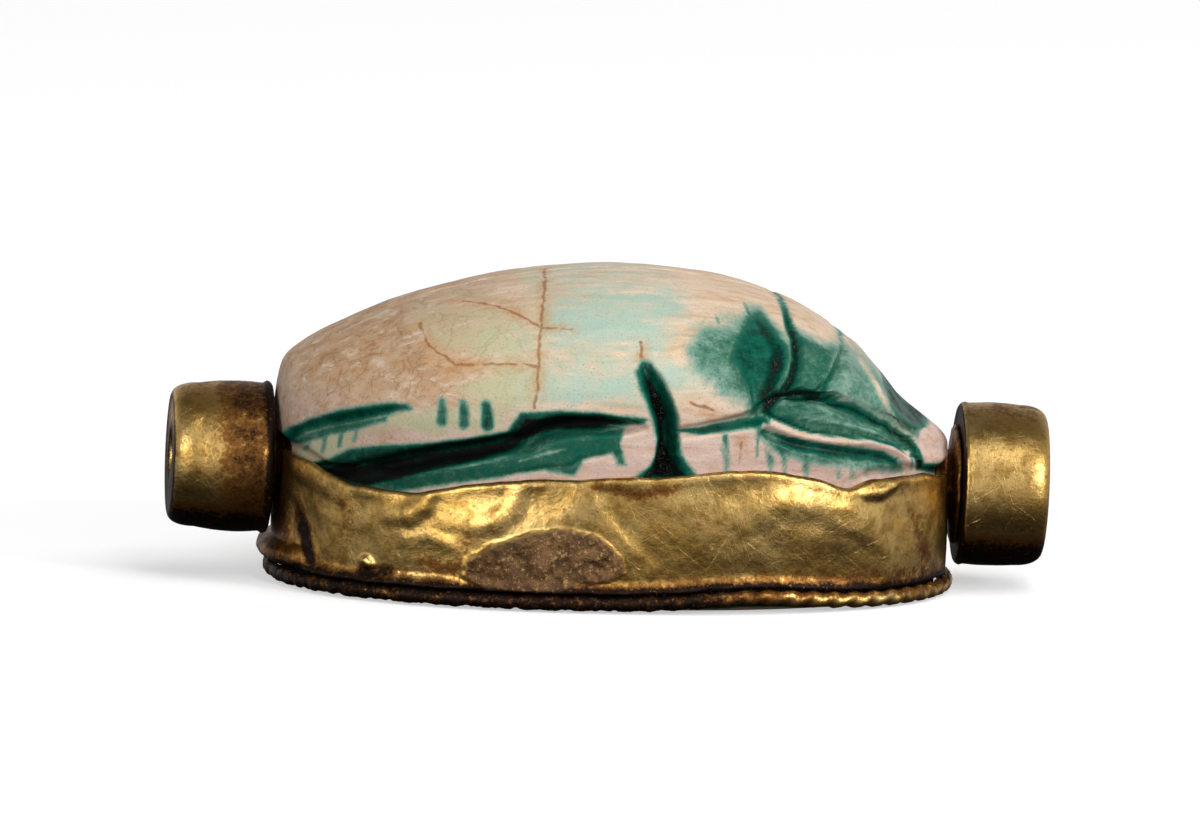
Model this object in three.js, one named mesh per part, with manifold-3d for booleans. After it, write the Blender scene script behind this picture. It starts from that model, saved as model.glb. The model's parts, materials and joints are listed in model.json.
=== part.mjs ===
// A scarab seal: a beetle carved from glazed steatite, set in a hammered gold band with a round gold
// wire under its foot and a gold collar at each end, through which the wire of a swivel ring runs.
// Millimetres. +X is the beetle's head, -X its tail, +Z its back, and z = 0 is the flat seal face.
import * as THREE from 'three';
import { mergeVertices } from 'three/addons/utils/BufferGeometryUtils.js';
import Module from 'manifold-3d';

const wasm = await Module();
wasm.setup();

// Driving dimensions of the stone.
const BEETLE_LENGTH = 19.94; // rump to the front edge of the head
const BEETLE_WIDTH = 13.9;
const BEETLE_HEIGHT = 9.32; // seal face to the top of the back
const FOOT_SIDE_INSET = 0.05; // how far the foot stands in from the body, each side
const BORE_RADIUS = 0.7; // hole for the ring's wire, through the stone and both collars

// Driving dimensions of the gold.
const SHEET_THICKNESS = 0.3;
const SEAT_CLEARANCE = 0.05; // between the stone and the band all round
const WALL_SETBACK = 0.02; // how far the band stands back from the rump and head above it
const BAND_HEIGHT = 4.0; // seal face to the band's upper edge, at the middle of its side
const RIM_WIRE_DIAMETER = 0.5;
const RIM_WIRE_REST = 0.03; // height of the rim wire above the seal face
const JOINT_GAP = 0.03; // at each soldered joint
const NECK_RADIUS = 1.2; // solder neck between the band and each collar
const TAIL_COLLAR = { radius: 2.24, length: 2.95, gap: 0.08, lift: 0.7, cone: 0.1 };
const HEAD_COLLAR = { radius: 2.4, length: 2.56, gap: 0.27, lift: 0.11, cone: 0.03 };
const COLLAR_SHOULDER = { along: 0.8, down: 0.42 }; // rounding of a collar's outer edge
const COLLAR_INNER_EDGE = 0.16; // bevel of a collar's inner edge

// Driving dimensions of the design cut into the seal face.
const BORDER_INSET = 1.15; // edge of the foot to the middle of the border line
const SEAL_LINE_WIDTH = 0.42;
const SEAL_LINE_DEPTH = 0.26;
const SPIRAL_RADIUS = 1.75;
const SPIRAL_CORE_RADIUS = 0.5;
const SPIRAL_TURNS = 1.6;
const BOSS_RADIUS = 0.95;
const STROKE_LENGTH = 1.1;
const STROKE_SPACING = 0.84;

// How finely the surfaces are faceted.
const AROUND = 112;
const FLANK_CROWDING = 0.25; // how much closer the facets are along the flanks than at the ends
const GROOVE_ROWS = [-0.045, -0.02, 0, 0.02, 0.045]; // beside the main groove, as shares of the height
const SWELL_ROWS = [0, 0.5, 1]; // over the band's edge, as shares of the swell
const BACK_ROWS = 10;
const BAND_AROUND = 90;
const BAND_STEPS = [0, 0.07, 0.14, 0.3, 0.48, 0.66, 0.84, 1]; // foot to upper edge
const RIM_AROUND = 72;
const RIM_SIDES = 6;
const BORDER_AROUND = 48;
const SPIRAL_STEPS = 18;
const BOSS_SIDES = 12;
const COLLAR_SIDES = 24;
const BORE_SIDES = 12;

// Worked out from the dimensions above.
const halfLength = BEETLE_LENGTH / 2;
const halfWidth = BEETLE_WIDTH / 2;
const footHalfLength = halfLength - SHEET_THICKNESS - SEAT_CLEARANCE - WALL_SETBACK;
const footHalfWidth = halfWidth - FOOT_SIDE_INSET;
const wallOffset = SEAT_CLEARANCE + SHEET_THICKNESS; // foot of the stone to the band's outer face
const rimTop = RIM_WIRE_REST + RIM_WIRE_DIAMETER;
const bandFoot = rimTop + JOINT_GAP;
const tailFace = -(halfLength + TAIL_COLLAR.gap);
const headFace = halfLength + HEAD_COLLAR.gap;
const tailAxisHeight = rimTop + TAIL_COLLAR.lift + TAIL_COLLAR.radius;
const headAxisHeight = rimTop + HEAD_COLLAR.lift + HEAD_COLLAR.radius;
const boreTilt = Math.atan2(tailAxisHeight - headAxisHeight, headFace - tailFace);
const boreMiddle = (tailFace + headFace) / 2;
const boreHeight = (tailAxisHeight + headAxisHeight) / 2;
const boreReach = halfLength + TAIL_COLLAR.length + HEAD_COLLAR.length;

// The beetle's form, as shares: along is the share of the half length, from -1 at the rump to 1 at the
// head's edge, and up is the share of the height.
const PLAN_ROUNDNESS = 2.25; // exponent of the oval plan: 2 is an ellipse
const DOME_ROUNDNESS = 2.1; // exponent of the back's cross-section
const BACK_LINE = [
  [-1, 0.52], [-0.97, 0.692], [-0.92, 0.738], [-0.8, 0.807], [-0.5, 0.923], [-0.27, 0.976], [0, 1],
  [0.26, 0.979], [0.5, 0.909], [0.62, 0.842], [0.73, 0.75], [0.8, 0.672], [0.85, 0.607], [0.91, 0.554],
  [0.97, 0.504], [1, 0.452],
];
const SHOULDER_LINE = [
  [-1, 0.504], [-0.8, 0.536], [-0.4, 0.579], [0.2, 0.612], [0.45, 0.665], [0.6, 0.68], [0.77, 0.6],
  [0.85, 0.53], [0.93, 0.47], [1, 0.44],
];
const FRONT_LEG_LINE = [
  [-1, 0.65], [0.45, 0.67], [0.6, 0.66], [0.68, 0.622], [0.77, 0.574], [0.83, 0.531], [0.88, 0.478],
  [0.93, 0.44], [1, 0.42],
];
const HEAD_NARROWING = [[-1, 1], [0.45, 1], [0.62, 0.97], [0.75, 0.87], [0.85, 0.76], [0.93, 0.68], [1, 0.66]];
const LEDGE = 0.03; // half the height over which the body steps in above the front legs
const OVERHANG_RISE = 0.05; // height over which the body swells out above the band's edge

// Height of the band's upper edge along each side, as shares of BAND_HEIGHT.
const NEAR_EDGE = [
  [-1, 1], [-0.93, 0.96], [-0.88, 0.9], [-0.79, 0.83], [-0.66, 0.825], [-0.55, 0.875], [-0.44, 0.925],
  [-0.21, 0.975], [0.03, 1], [0.38, 1.05], [0.57, 0.975], [0.66, 0.9], [0.75, 0.95], [0.89, 0.95], [1, 0.875],
];
const FAR_EDGE = [[-1, 1], [-0.85, 0.87], [-0.5, 0.93], [-0.1, 0.99], [0.3, 0.96], [0.6, 1.02], [0.85, 0.9], [1, 0.875]];

// Cuts in each flank: points of [along, up, half width, depth], the last two as shares of the height.
// The main groove under the wing case and the head runs through the first three, rump to head.
const FLANK_CUTS = {
  hindLegGap: [
    [-0.9, 0.378, 0.02, 0.03], [-0.76, 0.408, 0.036, 0.075], [-0.66, 0.44, 0.042, 0.086],
    [-0.56, 0.472, 0.04, 0.086], [-0.41, 0.504, 0.04, 0.086], [-0.31, 0.531, 0.042, 0.086],
    [-0.26, 0.562, 0.042, 0.086], [-0.19, 0.583, 0.042, 0.086], [-0.1, 0.586, 0.038, 0.08],
    [-0.02, 0.583, 0.03, 0.054], [0.04, 0.58, 0.01, 0.01],
  ],
  wingCaseCorner: [
    [0.15, 0.569, 0.024, 0.016], [0.24, 0.585, 0.028, 0.027], [0.33, 0.604, 0.03, 0.038],
    [0.38, 0.624, 0.034, 0.043],
  ],
  underHead: [
    [0.4, 0.64, 0.04, 0.055], [0.44, 0.668, 0.042, 0.065], [0.5, 0.678, 0.04, 0.065],
    [0.59, 0.665, 0.036, 0.055], [0.66, 0.628, 0.034, 0.045], [0.76, 0.574, 0.032, 0.04],
    [0.82, 0.531, 0.032, 0.04], [0.87, 0.472, 0.03, 0.034], [0.88, 0.44, 0.016, 0.01],
  ],
  wingCaseEdge: [
    [-0.965, 0.483, 0.022, 0.014], [-0.88, 0.535, 0.028, 0.024], [-0.79, 0.567, 0.028, 0.024],
    [-0.7, 0.597, 0.024, 0.016], [-0.64, 0.62, 0.014, 0.002],
  ],
  middleSlot: [
    [0.045, 0.767, 0.026, 0.02], [0.06, 0.73, 0.038, 0.055], [0.08, 0.676, 0.042, 0.085],
    [0.1, 0.612, 0.042, 0.095], [0.11, 0.547, 0.04, 0.095], [0.1, 0.494, 0.036, 0.09],
    [0.105, 0.45, 0.052, 0.095], [0.105, 0.41, 0.085, 0.095],
  ],
  shinGroove: [
    [0.4, 0.574, 0.026, 0.022], [0.5, 0.531, 0.03, 0.027], [0.63, 0.496, 0.032, 0.027],
    [0.75, 0.467, 0.029, 0.022], [0.8, 0.45, 0.018, 0.006],
  ],
  chestGroove: [
    [0.486, 0.907, 0.014, 0.004], [0.486, 0.858, 0.024, 0.024], [0.5, 0.81, 0.028, 0.034],
    [0.49, 0.74, 0.028, 0.04], [0.46, 0.697, 0.028, 0.05],
  ],
  neckGroove: [
    [0.657, 0.794, 0.016, 0.006], [0.627, 0.767, 0.024, 0.022], [0.597, 0.73, 0.026, 0.028],
    [0.567, 0.697, 0.026, 0.036],
  ],
  shoulderHollow: [
    [0.39, 0.848, 0.1, 0.014], [0.385, 0.762, 0.085, 0.036], [0.376, 0.676, 0.046, 0.032],
    [0.376, 0.622, 0.028, 0.027],
  ],
  chestHollow: [[0.552, 0.772, 0.055, 0.012], [0.54, 0.73, 0.055, 0.016]],
};

// Raised lines of each flank, in the same terms.
const FLANK_RIDGES = {
  headRidge: [
    [0.72, 0.74, 0.03, 0.006], [0.742, 0.687, 0.03, 0.014], [0.762, 0.633, 0.03, 0.016],
    [0.802, 0.579, 0.03, 0.016], [0.863, 0.536, 0.026, 0.01],
  ],
  shinRidge: [
    [0.4, 0.601, 0.02, 0.006], [0.47, 0.553, 0.022, 0.01], [0.6, 0.531, 0.02, 0.01],
    [0.72, 0.526, 0.02, 0.01], [0.8, 0.494, 0.024, 0.012], [0.86, 0.44, 0.024, 0.008],
  ],
};

// Lines cut in the back: points of [along, out, half width, depth], where out is the distance from
// the middle line as a share of the half width.
const BACK_CUTS = {
  wingCaseSeam: [[-0.985, 0, 0.02, 0.012], [-0.6, 0, 0.022, 0.014], [0.3, 0, 0.022, 0.012], [0.47, 0, 0.02, 0.01]],
  chestLine: [[0.475, 0, 0.018, 0.008], [0.475, 0.22, 0.018, 0.01], [0.48, 0.46, 0.018, 0.012]],
  headLine: [[0.655, 0, 0.018, 0.012], [0.66, 0.16, 0.018, 0.01], [0.655, 0.32, 0.018, 0.01]],
};

// Dents and bulges of the band: [along, up as a share of the band, length, height, how far out], in
// millimetres from the third on.
const NEAR_DENTS = [
  [-0.93, 0.35, 0.5, 1.7, -0.22], [-0.63, 0.66, 1.0, 0.9, 0.14], [-0.35, 0.72, 0.8, 0.9, 0.13],
  [-0.48, 0.72, 0.6, 0.8, -0.06], [-0.15, 0.8, 0.7, 0.7, 0.1], [-0.25, 0.3, 2.3, 1.1, 0.12],
  [0.22, 0.38, 1.6, 1.1, -0.08], [0.52, 0.8, 2.2, 0.8, 0.2], [0.78, 0.42, 0.8, 1.4, 0.08],
];
const FAR_DENTS = [
  [-0.8, 0.5, 1.2, 1.2, 0.12], [-0.45, 0.7, 1.6, 0.9, 0.16], [-0.1, 0.4, 1.5, 1.2, -0.08],
  [0.3, 0.72, 1.8, 0.8, 0.15], [0.7, 0.45, 1.1, 1.3, 0.1],
];
const TAIL_BULGE = 0.5; // how far the crumpled corner under the tail collar stands out
const FOOT_LIFT = 0.2; // how far the foot is bent up along one stretch of the near side
const FOOT_LIFT_ALONG = 0.38;
const FOOT_LIFT_SPREAD = 0.22;

// A smooth curve through [position, value] points, with no overshoot between them.
function smoothCurve(points) {
  const gap = (i) => points[i + 1][0] - points[i][0];
  const slope = (i) => (points[i + 1][1] - points[i][1]) / gap(i);
  const last = points.length - 1;
  const tangents = points.map((_, i) => {
    if (i === 0) return slope(0);
    if (i === last) return slope(last - 1);
    const [before, after] = [slope(i - 1), slope(i)];
    if (before * after <= 0) return 0;
    const [w1, w2] = [2 * gap(i) + gap(i - 1), gap(i) + 2 * gap(i - 1)];
    return (w1 + w2) / (w1 / before + w2 / after);
  });
  return (position) => {
    const p = Math.min(Math.max(position, points[0][0]), points[last][0]);
    let i = 0;
    while (i < last - 1 && p > points[i + 1][0]) i += 1;
    const t = (p - points[i][0]) / gap(i);
    const [t2, t3] = [t * t, t * t * t];
    return (2 * t3 - 3 * t2 + 1) * points[i][1] + (t3 - 2 * t2 + t) * gap(i) * tangents[i]
      + (3 * t2 - 2 * t3) * points[i + 1][1] + (t3 - t2) * gap(i) * tangents[i + 1];
  };
}

const smoothStep = (t) => {
  const c = Math.min(Math.max(t, 0), 1);
  return c * c * (3 - 2 * c);
};
const scaledUp = (line) => smoothCurve(line.map(([along, up]) => [along, up * BEETLE_HEIGHT]));

// The lines of the form in millimetres. The shoulder stays above the band's edge, and the back above
// the shoulder. The back drops almost upright at both ends, so it is read by angle, as an arc would be.
const swellRise = OVERHANG_RISE * BEETLE_HEIGHT;
const nearEdge = smoothCurve(NEAR_EDGE);
const farEdge = smoothCurve(FAR_EDGE);
const edgeHeight = (along, far) => BAND_HEIGHT * (far ? farEdge(along) : nearEdge(along));
const drawnShoulder = scaledUp(SHOULDER_LINE);
const lowestShoulder = (along) => Math.max(edgeHeight(along, true), edgeHeight(along, false)) + swellRise;
const shoulderHeight = (along) => Math.max(drawnShoulder(along), lowestShoulder(along));
const backByAngle = smoothCurve(BACK_LINE.map(([along, up]) => [Math.asin(along), up * BEETLE_HEIGHT]));
const backHeight = (along) => Math.max(
  backByAngle(Math.asin(Math.min(Math.max(along, -1), 1))), shoulderHeight(along),
);
const frontLegHeight = scaledUp(FRONT_LEG_LINE);
const narrowing = smoothCurve(HEAD_NARROWING);
const { hindLegGap, wingCaseCorner, underHead } = FLANK_CUTS;
const mainGroove = scaledUp([...hindLegGap, ...wingCaseCorner, ...underHead]);

// A point of an oval plan, at an angle from the head.
function ovalPoint(angle, alongHalf, acrossHalf) {
  const [c, s] = [Math.cos(angle), Math.sin(angle)];
  const reach = (Math.abs(c) ** PLAN_ROUNDNESS + Math.abs(s) ** PLAN_ROUNDNESS) ** (-1 / PLAN_ROUNDNESS);
  return [alongHalf * c * reach, acrossHalf * s * reach];
}

// The blank before carving: part runs from 0 at the seal face to 1 at the shoulder and 2 at the top.
function blankPoint(angle, part) {
  const [bodyX, bodyY] = ovalPoint(angle, halfLength, halfWidth);
  const along = bodyX / halfLength;
  if (part <= 1) {
    const [footX, footY] = ovalPoint(angle, footHalfLength, footHalfWidth);
    const z = part * shoulderHeight(along);
    const swell = smoothStep((z - edgeHeight(along, bodyY > 0)) / swellRise);
    const ledge = smoothStep(((z - frontLegHeight(along)) / BEETLE_HEIGHT + LEDGE) / (2 * LEDGE));
    const width = 1 + (narrowing(along) - 1) * ledge;
    return new THREE.Vector3(footX + (bodyX - footX) * swell, (footY + (bodyY - footY) * swell) * width, z);
  }
  const turn = ((part - 1) * Math.PI) / 2;
  const reach = Math.cos(turn) ** (2 / DOME_ROUNDNESS);
  const share = along * reach;
  const y = bodyY * reach * narrowing(share);
  const room = Math.max(1 - Math.abs(share) ** PLAN_ROUNDNESS, 1e-9) ** (1 / PLAN_ROUNDNESS);
  const across = Math.min(Math.abs(y) / (halfWidth * narrowing(share) * room), 1);
  const rise = (1 - across ** DOME_ROUNDNESS) ** (1 / DOME_ROUNDNESS);
  const low = shoulderHeight(share);
  return new THREE.Vector3(bodyX * reach, y, low + (backHeight(share) - low) * rise);
}

// The blank's outward direction, from two short steps along its surface.
function blankNormal(angle, part) {
  const step = 0.004;
  const high = Math.min(part + step, 2 - step);
  const low = Math.max(high - 2 * step, 0);
  const round = blankPoint(angle + step, part).sub(blankPoint(angle - step, part));
  const upward = blankPoint(angle, high).sub(blankPoint(angle, low));
  return round.cross(upward).normalize();
}

// The part of the blank at which its side reaches a line drawn along the flank, found by halving.
function partAtLine(angle, line, rise) {
  let [low, high] = [0, 1.9];
  for (let i = 0; i < 24; i += 1) {
    const middle = (low + high) / 2;
    const { x, y, z } = blankPoint(angle, middle);
    if (z < line(x / halfLength, y > 0) + rise) low = middle;
    else high = middle;
  }
  return (low + high) / 2;
}

// How deep a cut is at (u, v): its profile falls smoothly from the path's depth to 0 at its half width.
function cutDepth(path, u, v) {
  let deepest = 0;
  for (let i = 0; i + 1 < path.length; i += 1) {
    const [a, b] = [path[i], path[i + 1]];
    const [du, dv] = [b[0] - a[0], b[1] - a[1]];
    const t = Math.min(Math.max(((u - a[0]) * du + (v - a[1]) * dv) / (du * du + dv * dv), 0), 1);
    const away = Math.hypot(u - a[0] - t * du, v - a[1] - t * dv) / (a[2] + t * (b[2] - a[2]));
    if (away < 1) deepest = Math.max(deepest, (a[3] + t * (b[3] - a[3])) * (1 - away ** 4) ** 2);
  }
  return deepest;
}

// The cuts' paths in millimetres. A flank's are drawn in x and z, the back's in x and y.
const inMillimetres = (cuts, acrossScale) => Object.values(cuts).map((path) => path.map(
  ([along, across, width, depth]) => [
    along * halfLength, across * acrossScale, width * BEETLE_HEIGHT, depth * BEETLE_HEIGHT,
  ],
));
const flankCuts = inMillimetres(FLANK_CUTS, BEETLE_HEIGHT);
const flankRidges = inMillimetres(FLANK_RIDGES, BEETLE_HEIGHT);
const backCuts = inMillimetres(BACK_CUTS, halfWidth);

// Where cuts meet, their depths blend instead of adding up.
function carvedPoint(angle, part) {
  const point = blankPoint(angle, part);
  const { x, y, z } = point;
  const depths = flankCuts.map((path) => cutDepth(path, x, z));
  if (part > 1) depths.push(...backCuts.map((path) => cutDepth(path, x, Math.abs(y))));
  const cut = depths.reduce((sum, depth) => sum + depth ** 4, 0) ** 0.25;
  const raised = Math.max(...flankRidges.map((path) => cutDepth(path, x, z)));
  return point.addScaledVector(blankNormal(angle, part), raised - cut);
}

// A closed surface from rings of points, lowest first, with a centre point under and over them.
function ringSolid(rings, lowCentre, highCentre) {
  const count = rings[0].length;
  const points = [...rings.flat(), lowCentre, highCentre];
  const [low, high] = [points.length - 2, points.length - 1];
  const lastRing = (rings.length - 1) * count;
  const faces = [];
  for (let j = 0; j < count; j += 1) {
    const next = (j + 1) % count;
    faces.push(low, next, j, high, lastRing + j, lastRing + next);
    for (let i = 0; i + 1 < rings.length; i += 1) {
      const [a, b] = [i * count + j, i * count + next];
      faces.push(a, b, b + count, a, b + count, a + count);
    }
  }
  return new THREE.BufferGeometry().setFromPoints(points).setIndex(faces);
}

// A bar of a polygonal section along a level path: a closed loop, or an open path with flat ends.
function sweptSolid(path, section, closed) {
  const last = path.length - 1;
  const rings = path.map((point, i) => {
    const before = path[closed ? (i + last) % path.length : Math.max(i - 1, 0)];
    const after = path[closed ? (i + 1) % path.length : Math.min(i + 1, last)];
    const ahead = after.clone().sub(before).normalize();
    const side = new THREE.Vector3(ahead.y, -ahead.x, 0).normalize();
    const up = new THREE.Vector3(0, 0, 1);
    return section.map(([out, rise]) => point.clone().addScaledVector(side, out).addScaledVector(up, rise));
  });
  const count = section.length;
  const faces = [];
  for (let i = 0; i < (closed ? rings.length : last); i += 1) {
    const far = ((i + 1) % rings.length) * count;
    for (let j = 0; j < count; j += 1) {
      const next = (j + 1) % count;
      faces.push(i * count + j, far + j, far + next, i * count + j, far + next, i * count + next);
    }
  }
  if (!closed) {
    const end = last * count;
    for (let j = 1; j + 1 < count; j += 1) faces.push(0, j, j + 1, end, end + j + 1, end + j);
  }
  return new THREE.BufferGeometry().setFromPoints(rings.flat()).setIndex(faces);
}

function toManifold(geometry) {
  const bare = new THREE.BufferGeometry().setAttribute('position', geometry.getAttribute('position').clone());
  if (geometry.index) bare.setIndex(geometry.index);
  const merged = mergeVertices(bare, 1e-4);
  return new wasm.Manifold(new wasm.Mesh({
    numProp: 3,
    vertProperties: merged.attributes.position.array,
    triVerts: new Uint32Array(merged.index.array),
  }));
}

function toGeometry(solid) {
  const mesh = solid.getMesh();
  const geometry = new THREE.BufferGeometry();
  geometry.setAttribute('position', new THREE.BufferAttribute(mesh.vertProperties, mesh.numProp));
  geometry.setIndex(new THREE.BufferAttribute(mesh.triVerts, 1));
  geometry.computeVertexNormals();
  return geometry;
}

const material = (color, roughness, metalness) => new THREE.MeshStandardMaterial({ color, roughness, metalness });
const stoneFinish = material(0xd8c3ae, 0.35, 0);
const goldFinish = material(0xb08a45, 0.32, 1);

function namedMesh(name, geometry, finish) {
  const mesh = new THREE.Mesh(geometry, finish);
  mesh.name = name;
  return mesh;
}

// Angles round the plan, closer together along the flanks, where the legs are carved.
const planAngles = (count) => Array.from({ length: count }, (_, i) => {
  const even = (2 * Math.PI * i) / count;
  return even + (FLANK_CROWDING / 2) * Math.sin(2 * even);
});

// The straight line on which the stone and both collars are drilled.
const boreLine = new THREE.Matrix4().makeRotationY(boreTilt).setPosition(boreMiddle, 0, boreHeight);

function cylinderOnBore(radius, from, to, sides) {
  const geometry = new THREE.CylinderGeometry(radius, radius, to - from, sides);
  geometry.rotateZ(-Math.PI / 2).translate((from + to) / 2 - boreMiddle, 0, 0).applyMatrix4(boreLine);
  return toManifold(geometry);
}

const bore = cylinderOnBore(BORE_RADIUS, -boreReach, boreReach, BORE_SIDES);

// The design of the seal face: a border line, four spirals round a boss and four groups of strokes.
const onFace = (x, y) => new THREE.Vector3(x, y, 0);
const lineReach = SEAL_LINE_WIDTH / 2;
const lineGroove = [
  [-lineReach, -SEAL_LINE_DEPTH], [lineReach, -SEAL_LINE_DEPTH], [lineReach, 0], [0, SEAL_LINE_DEPTH], [-lineReach, 0],
];

function sealBorder() {
  const loop = planAngles(BORDER_AROUND).map((angle) => onFace(
    ...ovalPoint(angle, footHalfLength - BORDER_INSET, footHalfWidth - BORDER_INSET),
  ));
  return sweptSolid(loop, lineGroove, true);
}

function sealBoss() {
  const loop = Array.from({ length: BOSS_SIDES }, (_, i) => {
    const turn = (2 * Math.PI * i) / BOSS_SIDES;
    return onFace(BOSS_RADIUS * Math.cos(turn), BOSS_RADIUS * Math.sin(turn));
  });
  return sweptSolid(loop, lineGroove, true);
}

function sealSpiral(sideX, sideY) {
  const path = Array.from({ length: SPIRAL_STEPS }, (_, i) => {
    const share = i / (SPIRAL_STEPS - 1);
    const radius = SPIRAL_RADIUS + (SPIRAL_CORE_RADIUS - SPIRAL_RADIUS) * share;
    const turn = 2 * Math.PI * SPIRAL_TURNS * share;
    return onFace(
      sideX * (0.43 * footHalfLength - radius * Math.cos(turn)),
      sideY * (0.37 * footHalfWidth + radius * Math.sin(turn)),
    );
  });
  return sweptSolid(path, lineGroove, false);
}

function sealStroke(x, y, reachX, reachY) {
  return sweptSolid([onFace(x - reachX, y - reachY), onFace(x + reachX, y + reachY)], lineGroove, false);
}

function sealDesign() {
  const cutters = [sealBorder(), sealBoss()];
  for (const sideX of [-1, 1]) {
    for (const sideY of [-1, 1]) cutters.push(sealSpiral(sideX, sideY));
  }
  for (const side of [-1, 1]) {
    for (const step of [-1, 0, 1]) {
      const aside = step * STROKE_SPACING;
      cutters.push(sealStroke(side * 0.76 * footHalfLength, aside, STROKE_LENGTH / 2, 0));
      cutters.push(sealStroke(aside, side * 0.6 * footHalfWidth, 0, STROKE_LENGTH / 2));
    }
  }
  return cutters.map(toManifold);
}

function makeScarab() {
  const angles = planAngles(AROUND);
  const columns = angles.map((angle) => {
    const swell = SWELL_ROWS.map((share) => partAtLine(angle, edgeHeight, share * swellRise));
    const groove = GROOVE_ROWS.map((share) => partAtLine(angle, mainGroove, share * BEETLE_HEIGHT));
    const start = Math.max(...swell, ...groove);
    const back = Array.from({ length: BACK_ROWS }, (_, i) => start + ((2 - start) * (i + 1)) / (BACK_ROWS + 0.5));
    return [0, ...swell, ...groove, ...back].sort((a, b) => a - b).map((part) => carvedPoint(angle, part));
  });
  const rings = columns[0].map((_, row) => columns.map((column) => column[row]));
  let solid = toManifold(ringSolid(rings, onFace(0, 0), carvedPoint(0, 2))).subtract(bore);
  for (const cutter of sealDesign()) solid = solid.subtract(cutter);
  return namedMesh('scarab', toGeometry(solid), stoneFinish);
}

// The room that the stone takes in the band: the blank, grown by the clearance and run on downwards.
function seatRoom() {
  const angles = planAngles(BAND_AROUND);
  const grown = (angle, part) => blankPoint(angle, part).addScaledVector(blankNormal(angle, part), SEAT_CLEARANCE);
  const rings = [angles.map((angle) => grown(angle, 0).setZ(-BAND_HEIGHT))];
  for (const share of SWELL_ROWS) {
    rings.push(angles.map((angle) => grown(angle, partAtLine(angle, edgeHeight, share * swellRise))));
  }
  for (const part of [1.2, 1.6]) rings.push(angles.map((angle) => grown(angle, part)));
  return toManifold(ringSolid(rings, onFace(0, 0).setZ(-BAND_HEIGHT), onFace(0, 0).setZ(BEETLE_HEIGHT)));
}

// How far the foot of the band and the wire under it are bent up.
function footLift(along, far) {
  if (far) return 0;
  return FOOT_LIFT * Math.exp(-(((along - FOOT_LIFT_ALONG) / FOOT_LIFT_SPREAD) ** 2));
}

// How far the band's outer face stands out at a height, beyond the flat sheet.
function bandRelief(along, far, z) {
  const sides = 1 - smoothStep((Math.abs(along) - 0.955) / 0.03);
  let relief = 0;
  for (const [at, up, length, height, out] of far ? FAR_DENTS : NEAR_DENTS) {
    const away = (((along - at) * footHalfLength) / length) ** 2 + ((z - up * BAND_HEIGHT) / height) ** 2;
    relief += out * Math.exp(-away);
  }
  const corner = smoothStep((-along - 0.9) / 0.08);
  const fromMiddle = ((z - rimTop) * 2) / TAIL_COLLAR.lift - 1;
  const bulge = TAIL_BULGE * corner * Math.max(1 - fromMiddle ** 2, 0);
  return Math.max(relief * sides, -SHEET_THICKNESS / 2) + bulge;
}

function bandPoint(angle, step, inset) {
  const [x, y] = ovalPoint(angle, footHalfLength, footHalfWidth);
  const along = x / footHalfLength;
  const low = bandFoot + footLift(along, y > 0);
  const z = low + step * (edgeHeight(along, y > 0) - low);
  const outward = new THREE.Vector3(x / footHalfLength ** 2, y / footHalfWidth ** 2, 0).normalize();
  const out = inset > 0 ? -inset : wallOffset + bandRelief(along, y > 0, z);
  return new THREE.Vector3(x, y, z).addScaledVector(outward, out);
}

// A neck joins a collar to the end of the band, and stays below the edge there, under the stone's overhang.
function solderNeck(from, to, end) {
  const top = edgeHeight(end, false) - JOINT_GAP;
  return cylinderOnBore(NECK_RADIUS, from, to, COLLAR_SIDES).trimByPlane([0, 0, -1], -top);
}

function makeBand() {
  const angles = planAngles(BAND_AROUND);
  const ring = (step, inset) => angles.map((angle) => bandPoint(angle, step, inset));
  const rings = [ring(0, SHEET_THICKNESS), ...BAND_STEPS.map((step) => ring(step, 0)), ring(1, SHEET_THICKNESS)];
  const block = toManifold(ringSolid(rings, onFace(0, 0).setZ(bandFoot), onFace(0, 0).setZ(BAND_HEIGHT)));
  const tailNeck = solderNeck(tailFace + JOINT_GAP, -footHalfLength / 2, -1);
  const headNeck = solderNeck(footHalfLength / 2, headFace - JOINT_GAP, 1);
  const solid = block.add(tailNeck).add(headNeck).subtract(seatRoom()).subtract(bore);
  return namedMesh('gold_band', toGeometry(solid), goldFinish);
}

function makeRimWire() {
  const radius = RIM_WIRE_DIAMETER / 2;
  const section = Array.from({ length: RIM_SIDES }, (_, i) => {
    const turn = (2 * Math.PI * (i + 0.5)) / RIM_SIDES;
    return [radius * Math.cos(turn), radius * Math.sin(turn)];
  });
  const path = planAngles(RIM_AROUND).map((angle) => {
    const [x, y] = ovalPoint(angle, footHalfLength + wallOffset, footHalfWidth + wallOffset);
    const lift = footLift(x / (footHalfLength + wallOffset), y > 0);
    return new THREE.Vector3(x, y, RIM_WIRE_REST + radius + lift);
  });
  return namedMesh('rim_wire', sweptSolid(path, section, true), goldFinish);
}

// A collar is a short barrel with a rounded outer shoulder, turned about the line of the bore.
function makeCollar(name, { radius, length, cone }) {
  const { along, down } = COLLAR_SHOULDER;
  const shoulder = [90, 60, 30, 0].map((degrees) => {
    const turn = (degrees * Math.PI) / 180;
    return [radius - cone - down + down * Math.sin(turn), length - along + along * Math.cos(turn)];
  });
  const profile = [
    [BORE_RADIUS, 0], [radius - COLLAR_INNER_EDGE, 0], [radius, COLLAR_INNER_EDGE],
    ...shoulder, [BORE_RADIUS, length], [BORE_RADIUS, 0],
  ];
  const turned = new THREE.LatheGeometry(profile.map(([r, y]) => new THREE.Vector2(r, y)), COLLAR_SIDES);
  return namedMesh(name, toGeometry(toManifold(turned)), goldFinish);
}

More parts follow.
